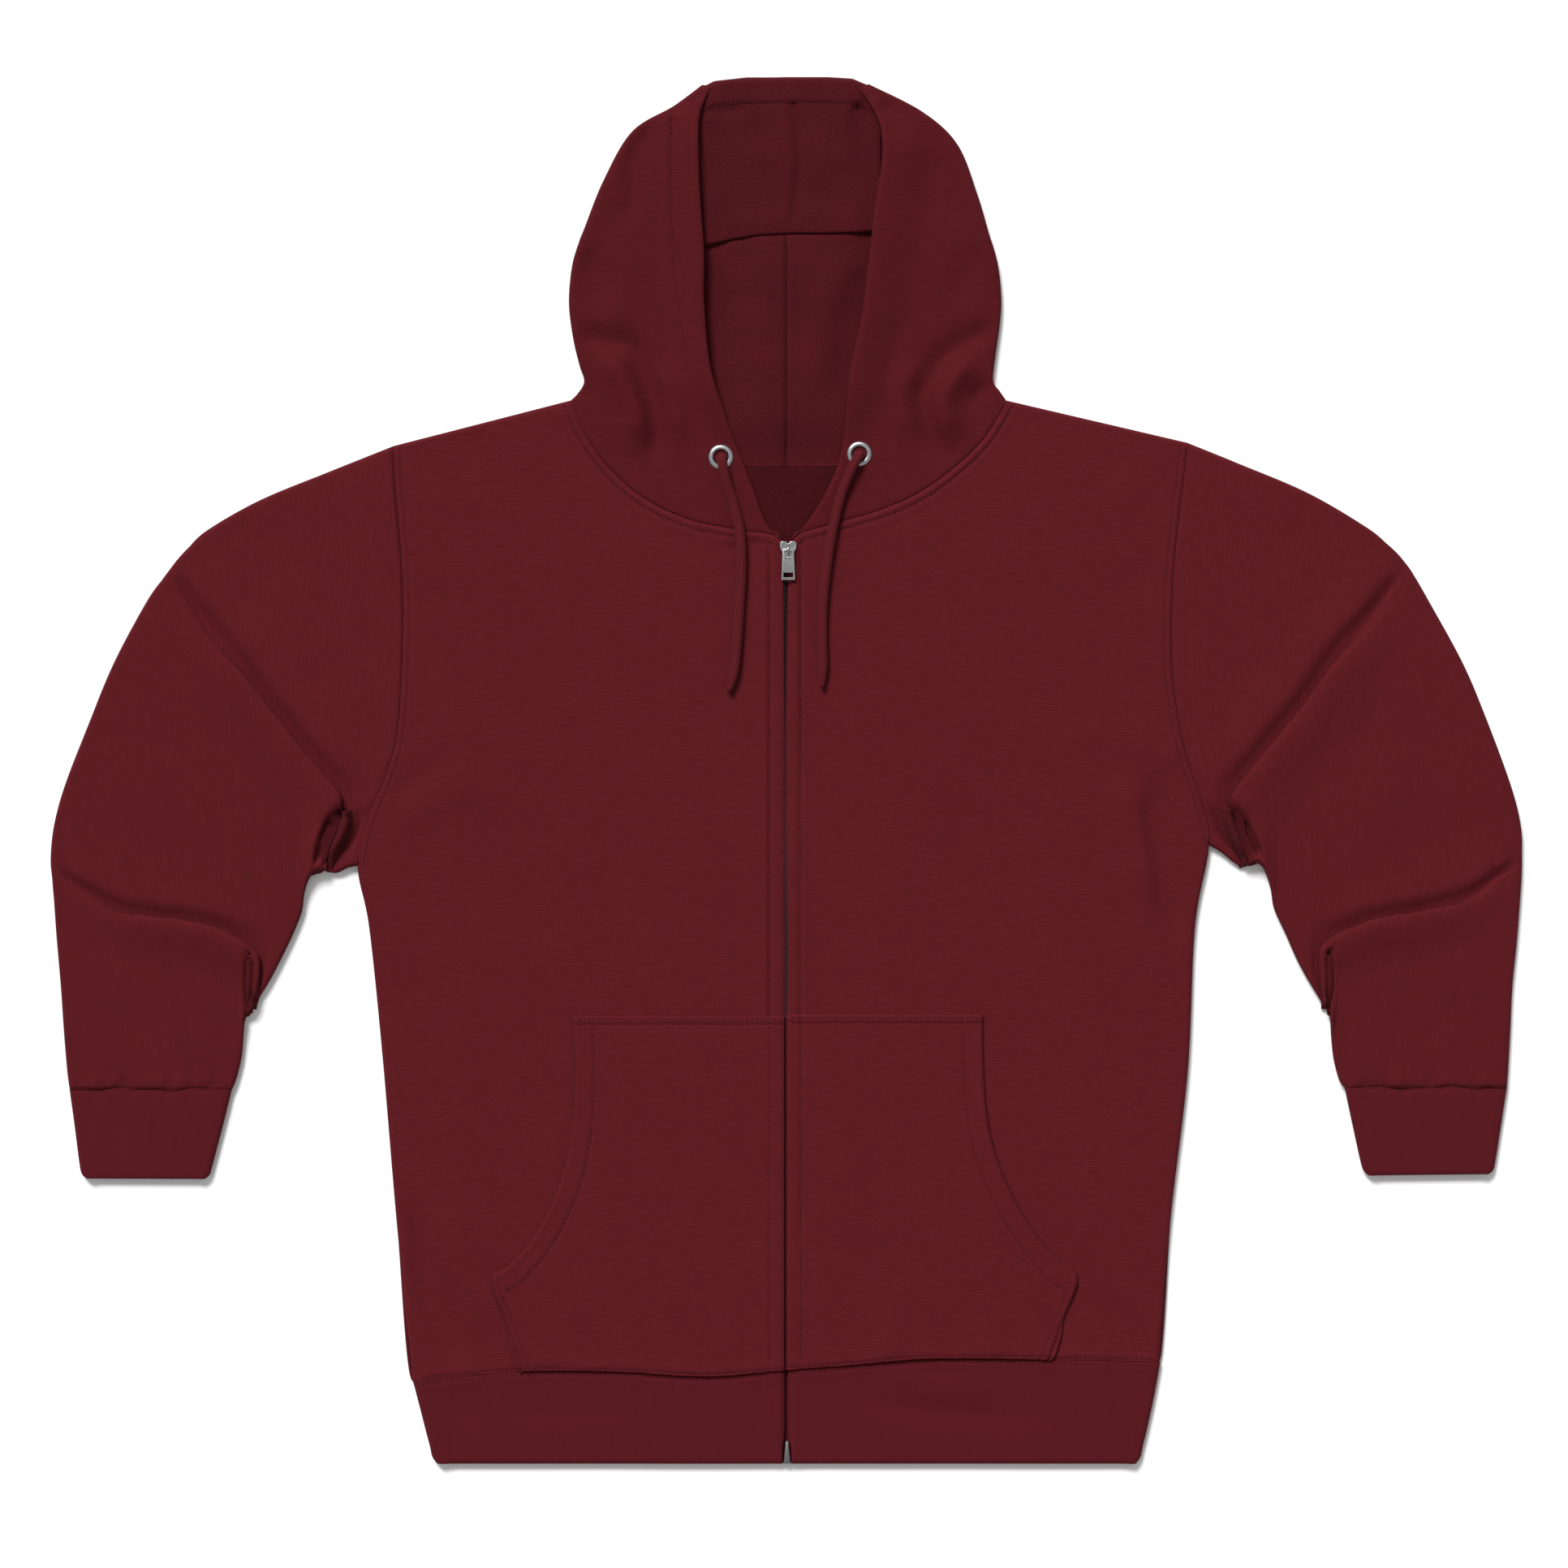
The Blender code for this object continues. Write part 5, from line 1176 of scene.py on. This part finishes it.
hoodFolds = {
    "right": [
        (
            [(-146, 288), (-132, 288), (-118, 285), (-103, 281), (-95, 262), (-88, 236), (-87, 214), (-92, 196)],
            -3.2, 6, 8, 0.15, 0.2,
        ),
        ([(-128, 278), (-114, 268), (-104, 250), (-98, 232), (-98, 208)], 6.6, 9, 7, 0.25, 0.3),
        ([(-86, 276), (-76, 254), (-73, 230), (-74, 208)], 3.4, 9, 9, 0.3, 0.4),
        ([(-100, 436), (-100.4, 424), (-101.5, 380), (-112, 366), (-120, 352)], -2.4, 8, 12, 0.2, 0.4),
        ([(-90, 428), (-92, 384), (-98, 352)], 1.4, 8, 7, 0.3, 0.4),
        ([(-134, 356), (-130, 338), (-124, 318), (-120, 300)], -2.4, 10, 8, 0.3, 0.4),
        ([(-118, 330), (-108, 300), (-96, 296)], 1.4, 9, 9, 0.4, 0.4),
        ([(-143, 262), (-134, 254), (-124, 246)], -2.4, 5, 6, 0.1, 0.5),
    ],
    "left": [
        (
            [(144, 298), (134, 293), (117, 284), (102, 272), (91, 250), (95, 231), (102, 213), (106, 198)], -3.1, 8,
            6, 0.15, 0.2,
        ),
        ([(130, 276), (115, 264), (105, 248), (106, 230), (112, 212)], 6.4, 7, 9, 0.25, 0.3),
        ([(88, 276), (77, 254), (80, 232), (88, 212)], 3.4, 8, 9, 0.3, 0.4),
        ([(96, 416), (98, 384), (106, 352)], -1.6, 10, 13, 0.3, 0.4),
        ([(124, 352), (116, 322), (108, 304)], -1.6, 9, 10, 0.3, 0.4),
        ([(146, 266), (138, 257), (128, 250), (120, 236)], -2.4, 5, 6, 0.1, 0.5),
        ([(62, 446), (72, 432), (76, 410)], -2.2, 6, 9, 0.15, 0.5),
    ],
}
insideFolds = [
    ([(-52, 334), (-42, 296), (-38, 256), (-34, 220)], -1.6, 8, 9, 0.3, 0.3),
    ([(54, 338), (42, 300), (36, 256), (30, 220)], -1.8, 9, 10, 0.2, 0.3),
    ([(-26, 344), (-20, 306), (-18, 266), (-14, 232)], 1, 8, 9, 0.4, 0.4),
    ([(26, 344), (23, 306), (20, 262), (16, 228)], 1.1, 9, 7, 0.4, 0.4),
    ([(-50, 322), (-30, 313), (-8, 312), (2, 314)], -1.3, 6, 9, 0.3, 0.4),
    ([(50, 334), (45, 306), (38, 272), (30, 240)], -2.4, 11, 10, 0.15, 0.3),
    ([(-54, 340), (-46, 318), (-44, 290), (-42, 262)], -2, 8, 9, 0.15, 0.3),
    ([(-48, 300), (-24, 291), (-4, 292)], 0.6, 7, 7, 0.3, 0.4),
    ([(6, 306), (26, 298), (46, 302)], -0.7, 7, 9, 0.3, 0.4),
    ([(-40, 262), (-20, 254), (2, 256)], -0.6, 7, 9, 0.3, 0.4),
    ([(8, 266), (24, 262), (40, 268)], 0.5, 8, 8, 0.3, 0.4),
    ([(3.2, 356), (4.5, 320), (4.3, 260), (4, 203)], -1.3, 1.7, 1.7, 0.03, 0.03),
    ([(7.6, 352), (8.9, 320), (8.7, 260), (8.2, 210)], 0.4, 2.2, 2.2, 0.05, 0.05),
]
# How far the face opening's edges stand up and how far back, how far their rim rolls under, and profiles
# across them: distances from the edge, and heights.
hoodRim = {
    "height": 6.2, "reach": 34.0, "out": 1.3, "under": 1.9,
    "bead": ([0, 1.5, 4, 9, 16], [0.2, 0.5, 0.4, 0.15, 0]),
    "secondEdge": ([3.2, 4.2, 5.0, 5.8, 7.5], [0, -0.3, -0.7, -0.2, 0]),
}
casing = [(-77.2, 441), (-76.7, 420), (-76.7, 390), (-75.8, 345), (-73.4, 320), (-70.0, 298), (-66, 276)]
# The crown's pleat: its edge and the hood's top edge in plan, and the cloth's path from under the pleat
# to the top edge, from the pleat's edge and up.
crown = {
    "edge": [
        (-66, 346), (-54, 349.7), (-37.3, 353.4), (-18.4, 356.7), (1.6, 357.8), (27.5, 357.8), (57.8, 358.8),
        (66, 358),
    ],
    "top": [
        (-66, 448), (-58, 453.5), (-48, 458.6), (-30, 460.6), (0, 461.2), (28, 461.2), (44, 460.2), (54, 456),
        (66, 449),
    ],
    "path": [
        (34, 2.6), (26, 2.7), (21, 3), (19.5, 3.7), (17, 4), (10, 4.1), (3, 4.3), (0.2, 4.8), (-0.9, 5.6), (0.4, 6.3),
        (4, 6.6), (12, 6.6), (30, 6.4),
    ],
    "band": 16.6,
    "halfWidth": 63,
}
crownFolds = [
    ([(3.2, 446), (6.5, 425), (8, 404), (6.2, 381), (4.3, 362)], -2.2, 2, 3.6, 0.05, 0.1),
    ([(-3, 440), (0.5, 420), (1.5, 400), (0, 380)], 0.6, 3, 4, 0.3, 0.4),
    ([(-54, 440), (-44, 437), (-34, 438), (-20, 442)], -2, 2.5, 5, 0.1, 0.5),
    ([(46, 444), (56, 434), (62, 418)], -2.4, 6, 7, 0.1, 0.3),
    ([(54, 446), (50, 430), (53, 408), (58, 380)], -3, 8, 9, 0.15, 0.4),
    ([(-54, 438), (-48, 414), (-52, 380)], -2.6, 9, 8, 0.2, 0.4),
    ([(-40, 420), (-20, 408), (0, 404)], 0.9, 8, 9, 0.3, 0.4),
    ([(12, 424), (30, 412), (44, 396)], 0.9, 9, 8, 0.3, 0.4),
    ([(14, 436), (22, 410), (18, 382)], 0.9, 9, 9, 0.3, 0.4),
    ([(-34, 430), (-26, 400), (-24, 372)], -0.5, 9, 11, 0.3, 0.4),
    ([(36, 432), (34, 400), (30, 374)], -0.6, 9, 9, 0.3, 0.4),
    ([(-50, 360), (-20, 366), (20, 368), (52, 367)], 0.5, 6, 6, 0.2, 0.2),
]
crownHem = [  # down from the hood's top edge, and the height there
    (0, -2.6), (0.5, -1.4), (1.5, -0.5), (3, 0.1), (15.4, 0.2), (16.2, 0), (16.6, -0.5), (17.2, -0.7), (18.5, -0.4),
    (22, 0),
]


def insideLift(x, y):  # how far the hood's inside stands off the surface that it lies on
    edgeY = np.interp(x, *np.array(crown["edge"]).T)
    lift = mix(3.0, 4.8, smooth((edgeY - 4 - y) / 44)) * smooth((57 - abs(x - 1)) / 24)
    lift = lift * smooth((y - 202) / 36) * smooth((edgeY + 2.5 - y) / 4.5)
    folds = creased(x, y, insideFolds) * smooth((y - 201) / 8) * smooth((356 - y) / 8)
    return np.maximum(lift + folds, 0) + 0.5 * smooth((56 - abs(x)) / 10)


def hoodPiece(side):
    sign, table = sides[side], np.array(hoodRows[side])
    neck = curveOver(frontRows[side], 121, lastRow, neckRow)[:, 2:]
    neckFar = travelled(neck)

    def place(c, r):
        line = curveAt(table, r)
        fold, edge, centreY = line[:, :2], line[:, 2:4], line[:, 4]
        length = np.linalg.norm(edge - fold, axis=1)
        turn, rim = (np.clip(c, 1, 3) - 2) * np.pi / 2, np.clip(c - 4, 0, 1) * np.pi
        inset, level, above = roll * (1 - np.cos(turn)), np.sin(turn), c > 2
        atSeam = seamGap / 2 * smooth(1 - r)
        lowX = np.where(c > 1, fold[:, 0] - inset, mix(seamGap / 2, fold[:, 0] - roll, c))
        lowY = mix(centreY, fold[:, 1], neckBend(lowX, fold[:, 0])) + atSeam
        distance = inset + (length - roll) * np.clip(c - 3, 0, 1)
        share = (np.minimum(distance, length) / length)[:, None]
        bow = readAt(share[:, 0] * neckFar[-1], neckFar, neck) - mix(neck[0], neck[-1], share)
        spot = mix(fold, edge, share) + bow * (np.maximum(1 - r / 4, 0) ** 2)[:, None]
        highX = spot[:, 0] - smooth(r / 1.5) * hoodRim["out"] * np.sin(rim)
        x, y = sign * np.where(above, highX, lowX), np.where(above, spot[:, 1] + atSeam, lowY)
        shape = creased(x, y, hoodFolds[side]) + 0.7 * broad(x, y) + seamed(x, y, necks[side], seamPlain)
        fromEdge = length - distance
        if side == "right":  # the face edge's hem shows its stitching and its second edge here
            shape += seamed(x, y, casing, seamCasing, bent=True) * smooth((y - 285) / 60)
            shape += np.interp(fromEdge, *hoodRim["secondEdge"]) * smooth((y - 330) / 30)
        shape += np.interp(fromEdge, *hoodRim["bead"]) * smooth(r / 2)
        rimHeight = hoodRim["height"] * smooth((y - 212) / 46) * smooth((458 - y) / 44)
        shape += rimHeight * smooth(1 - fromEdge / hoodRim["reach"]) ** 0.8
        low = roll * (1 + level) + insideLift(x, y) * (c <= 1) * smooth((1 - c) * 5)
        z = np.where(above, roll + level * (roll + shape * smooth(distance / 12)), low)
        z = z - (c > 4) * (1 - np.cos(rim)) * hoodRim["under"]
        return x, y, z, np.where(above, distance + 300, lowX), y + 500

    rows = np.unique(np.concatenate([evenRows((table[:, :2] + table[:, 2:4]) / 2, 3.2), steps(0, 0.3, 5)]))
    columns, finishes = stepped((0, 1, 3, 4, 5), (30, 8, 34, 7)), [shadedHoodFleece, fleeceNap]
    return gridPiece("hood", None, columns, rows, place, finishes, hoodWall, flip=sign > 0, side=side)


def crownPiece():  # the pleat across the hood's crown, with the turned hem along the top
    path = evenLine(crown["path"], 0.3)
    far = travelled(path)
    last = far[-1]
    topHem = list(zip(*crownHem))

    def place(c, r):
        x = c * crown["halfWidth"]
        edgeY, topY = (np.interp(x, *np.array(crown[name]).T) for name in ("edge", "top"))
        t, onHood = np.clip(r, 0, 1) * last, r > 1
        p, z = readAt(t, far, path).T
        y = np.where(onHood, mix(edgeY + path[-1, 0], topY, np.clip(r - 1, 0, 1)), edgeY + p)
        z = np.where(onHood, path[-1, 1], z) + np.interp(topY - y, *topHem) * onHood
        shape = creased(x, y, crownFolds) * smooth((t - last * 0.55) / 6)
        z = mix(z + shape, 2.6 + (z - 2.6) * 0.42, smooth((abs(x) - 44) / 17))  # its ends sink under the rims
        return x, y, z, x + 100, y + 500

    rows = stepped((0, 1, 1.72, 1.82, 2), (56, 18, 8, 12))
    return gridPiece("hoodCrownPleat", None, steps(-1, 1, 60), rows, place, [fleeceNap], crownWall)


pocketLook = {"rise": 0.5, "wall": 1.7, "hem": 13.3, "slantStitch": 5.4, "edgeStitch": 1.7}


def pocketEdge(side, first, last):
    return curveOver(pocketRows[side], 40, first, last) * (sides[side], 1)


def pocketPiece(side):
    sign, table = sides[side], np.array(pocketRows[side])
    last, hem, slantStitch = len(table) - 1, pocketLook["hem"], pocketLook["slantStitch"]
    topLine = np.array([(sign * 2, table[0, 1]), (sign * table[0, 0], table[0, 1])])
    edges = ((pocketEdge(side, 0, 6), True), (pocketEdge(side, 6, last), False), (topLine, False))
    hemProfile = [0, 1.5, 3, hem - 1.5, hem - 0.6, hem, hem + 0.7, hem + 2.5, hem + 6]
    s = placket[side]
    atZip = ([0, 1.2, 2.2, 3.4, s - 1.2, s, s + 1.2, s + 5], [-1.4, -0.9, 0.0, 0.35, 0.35, -0.75, 0.15, 0])

    def place(c, r):
        edge = curveAt(table, r)
        x = sign * mix(zipEdge(side, edge[:, 1]) + 0.4, edge[:, 0], c)
        y = mix(edge[:, 1], hemY(x) + 0.7, smooth(r - last + 1))
        shape = creased(x, y, bodyFolds) + broad(x, y) + hemShape(x, y)
        for line, opening in edges:
            near, away, _, _ = nearLine(x, y, line, 20, bent=False)
            away = abs(away)
            bend = np.clip(1 - away / 2.0, 0, 0.999)
            down = 0.3 * bell((away - 3) / 1.6) - 2.0 * (1 - np.sqrt(1 - bend**2))
            if opening:
                down += np.interp(away, hemProfile, [0, 0.3, 0.45, 0.45, 0.2, -0.45, -0.05, 0.15, 0])
            else:
                down -= 0.4 * bell((away - slantStitch) / 0.7)
            shape[near] = shape[near] + down
        z = flatHeight + shape + np.interp(abs(x), *atZip) + pocketLook["rise"] + pocketLook["wall"]
        return x, y, z, x + cutOffset, y + cutOffset

    columns = np.concatenate([
        [0, 0.004, 0.01, 0.02, 0.03, 0.045, 0.055, 0.062, 0.07, 0.08], steps(0.095, 0.88, 34),
        steps(0.88, 0.98, 12)[1:], [0.984, 0.988, 0.992, 0.996, 1],
    ])
    rows = np.unique(np.concatenate([steps(0, 0.25, 14), evenRows(table, 3.2), steps(last - 0.35, last, 8)]))
    finishes, wall = [fleece, fleeceNap], pocketLook["wall"]
    return gridPiece("pocket", None, columns, rows, place, finishes, wall, flip=sign > 0, side=side)


def pocketStitches(side):  # the rows of stitching round a pocket, in plan
    sign, last = sides[side], len(pocketRows[side]) - 1
    top = pocketRows[side][0]
    rows = [offsetLine(pocketEdge(side, 0.35, 5.9), pocketLook["hem"] * sign)]
    for inside in (pocketLook["edgeStitch"], pocketLook["slantStitch"]):
        rows.append(offsetLine(pocketEdge(side, 6.05, last - 0.05), inside * sign))
        rows.append([(sign * x, top[1] - inside) for x in (3, 40, 70, top[0] - 3)])
    return rows


cloth = {"back": backPiece(), "waistband": waistbandPiece(), "crown": crownPiece()}
print("back, waistband and crown made")
sidePieces = {"front": frontPiece, "sleeve": sleevePiece, "cuff": cuffPiece, "hood": hoodPiece, "pocket": pocketPiece}
for side in sides:
    for name, make in sidePieces.items():
        cloth[named(name, side)] = make(side)
    for name in ("upper", "lower"):
        cloth[named(named("rollEnd", name), side)] = rollEndPiece(side, name)
    print(side, "front, sleeve, cuff, hood and pocket made")

zipLook = {"line": 0.5, "toothPitch": 1.5, "tooth": (1.7, 0.8, 1.7), "toothEdge": 0.16, "teeth": (-392, 139)}
eyeletLook = {"outer": 8.4, "inner": 4.7, "height": 1.4, "floor": 6.9, "steps": 48}


def bevelled(work, lines, width, segments=3):
    bmesh.ops.bevel(
        work, geom=lines, offset=width * mm, affect="EDGES", segments=segments, profile=0.5, material=-1,
        clamp_overlap=segments > 1,
    )


# A copy of a hard part with its flat faces made whole and every edge sharper than an angle rounded.
def softened(node, name, edge, finish, body="garment", sharper=30):
    work = bmesh.new()
    work.from_mesh(bpy.data.objects[node].data)
    bmesh.ops.remove_doubles(work, verts=work.verts, dist=0.01 * mm)
    bmesh.ops.dissolve_limit(work, angle_limit=np.radians(2), verts=work.verts, edges=work.edges)
    sharp = np.radians(sharper)
    lines = [line for line in work.edges if len(line.link_faces) == 2 and line.calc_face_angle(0) > sharp]
    bevelled(work, lines, edge)
    dressed(linked(name, meshOf(name, work), [finish]), node, body)


def centreOf(node):
    low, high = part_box(node)
    return [(low[k] + high[k]) / 2 / mm for k in (0, 1)], low[2] / mm, high[2] / mm


def eyeletPiece(side):
    (x, y), _, _ = centreOf(f"eyelet_{side}")
    inner, outer, floor, height = (eyeletLook[key] for key in ("inner", "outer", "floor", "height"))
    profile = [
        (inner, -0.9), (inner, 0.5), (inner + 0.35, 1.0), (inner + 1.1, height), (inner + 2.2, height),
        (outer - 0.8, 0.95), (outer - 0.15, 0.45), (outer, 0.0), (outer - 0.3, -0.25), (inner + 0.8, -0.9),
    ]
    work = bmesh.new()
    points = [work.verts.new(Vector((x + r, y, floor + z)) * mm) for r, z in profile]
    lines = [work.edges.new(pair) for pair in zip(points, points[1:] + points[:1])]
    bmesh.ops.spin(
        work, geom=points + lines, cent=Vector((x, y, floor)) * mm, axis=(0, 0, 1), angle=2 * np.pi,
        steps=eyeletLook["steps"], use_merge=True,
    )
    bmesh.ops.remove_doubles(work, verts=work.verts, dist=0.002 * mm)
    bmesh.ops.recalc_face_normals(work, faces=work.faces)
    name = named("eyelet", side)
    dressed(linked(name, meshOf(name, work), [brightMetal]), f"eyelet_{side}")


sliderLook = {
    "half": [(0.7, 4.6), (1.1, 5.8), (4.5, 5.8), (5.6, 4.6), (5.45, 1.4), (3.7, -2.6), (3.4, -5.0), (2.9, -5.8)],
    "notch": (0, 4.5), "edge": 0.45, "rim": 0.7, "sunk": 0.25,
}


def sliderPiece():
    (x, y), low, high = centreOf("zip_slider")
    half = sliderLook["half"]
    outline = [sliderLook["notch"]] + half + [(-across, up) for across, up in half[::-1]]
    work = bmesh.new()
    base = work.faces.new([work.verts.new(Vector((x + across, y + up, low)) * mm) for across, up in outline])
    raised = bmesh.ops.extrude_face_region(work, geom=[base])["geom"]
    tops = [part for part in raised if isinstance(part, bmesh.types.BMVert)]
    bmesh.ops.translate(work, vec=(0, 0, (high - low) * mm), verts=tops)
    bmesh.ops.recalc_face_normals(work, faces=work.faces)
    bevelled(work, [line for line in work.edges if line.calc_face_angle(0) > np.radians(80)], sliderLook["edge"])
    top = max(work.faces, key=lambda face: face.calc_center_median().z * 1000 + face.calc_area() * 10)
    bmesh.ops.inset_region(work, faces=[top], thickness=sliderLook["rim"] * mm, depth=-sliderLook["sunk"] * mm)
    dressed(linked("zipSlider", meshOf("zipSlider", work), [brightMetal]), "zip_slider")


def zipTeeth():
    shape = bmesh.new()
    bmesh.ops.create_cube(shape, size=1)
    bmesh.ops.scale(shape, vec=Vector(zipLook["tooth"]) * mm, verts=shape.verts)
    bevelled(shape, shape.edges[:], zipLook["toothEdge"], 1)
    frames = []
    for k, y in enumerate(np.arange(*zipLook["teeth"], zipLook["toothPitch"] / 2)):
        away = 0.75 + np.interp(y, [-60, 60, 139], [0, 0.15, 0.5])
        frame = np.eye(4)
        frame[:3, 3] = np.array([zipLook["line"] + (away if k % 2 else -away), y, 5.0]) * mm
        frames.append(frame)
    repeated("zipTeeth", shape, frames, toothPlastic)


for side in sides:
    tape = bpy.data.objects[f"zip_tape_{side}"]
    tape.data.materials.clear()
    tape.data.materials.append(tapeWeave)
    eyeletPiece(side)
sliderPiece()
softened("zip_slider_bail", "zipSliderBail", 0.12, brightMetal, sharper=60)
softened("zip_pull_tab", "zipPullTab", 0.32, brightMetal, "pull_tab")
softened("zip_retainer_box", "zipRetainerBox", 0.3, greyMetal)
zipTeeth()
print("zip and eyelets made")

stitch = {"pitch": 3.1, "length": 2.5, "width": 0.62, "height": 0.42, "lift": 0.08}


def stitchLines():
    rows = []
    for side, sign in sides.items():
        rows.append(offsetLine(armholes[side], -topstitch["armhole"] * sign))
        rows.append(offsetLine(necks[side], topstitch["neck"] * sign))
        rows.append([(placket[side] * sign, y) for y in (-392, -200, 0, 141)])
        outerX, outerY, innerX, innerY = cuffRings[side][0]
        first, last = (np.array([x * sign, y + topstitch["cuff"]]) for x, y in ((outerX, outerY), (innerX, innerY)))
        rows.append(np.array([mix(first, last, share) for share in (0.03, 0.35, 0.65, 0.97)]))
        rows += pocketStitches(side)
    rows += [offsetLine(hemLine[4:-4], away) for away in (-topstitch["hem"], topstitch["hem"])]
    rows.append(casing)
    across = np.linspace(-53, 53, 12)
    rows.append(stacked(across, np.interp(across, *np.array(crown["top"]).T) - crown["band"]))
    return rows


def sewn():  # stitches laid on whatever cloth is highest at each
    graph = bpy.context.evaluated_depsgraph_get()
    trees = [BVHTree.FromObject(piece, graph) for piece in cloth.values()]
    frames = []
    for path in (evenLine(line, stitch["pitch"], False) for line in stitchLines()):
        for here, there in zip(path, path[1:]):
            above = Vector((*(here + there) / 2, 60)) * mm
            hits = [tree.ray_cast(above, Vector((0, 0, -1))) for tree in trees]
            hits = [hit for hit in hits if hit[0] is not None]
            if not hits:
                continue
            place, normal = max(hits, key=lambda hit: hit[0].z)[:2]
            ahead = Vector((*(there - here), 0)).normalized()
            ahead = (ahead - normal * ahead.dot(normal)).normalized()
            frame = np.eye(4)
            frame[:3] = np.stack([ahead, normal.cross(ahead), normal, place + normal * stitch["lift"] * mm], -1)
            frames.append(frame)
    shape = bmesh.new()
    bmesh.ops.create_uvsphere(shape, u_segments=6, v_segments=4, radius=0.5)
    bmesh.ops.rotate(shape, verts=shape.verts, cent=(0, 0, 0), matrix=Matrix.Rotation(np.pi / 2, 3, "Y"))
    size = Vector((stitch["length"], stitch["width"], stitch["height"] * 2)) * mm
    bmesh.ops.scale(shape, vec=size, verts=shape.verts)
    repeated("topstitching", shape, frames, sewing)
    print(len(frames), "stitches made")


bpy.context.view_layer.update()
sewn()
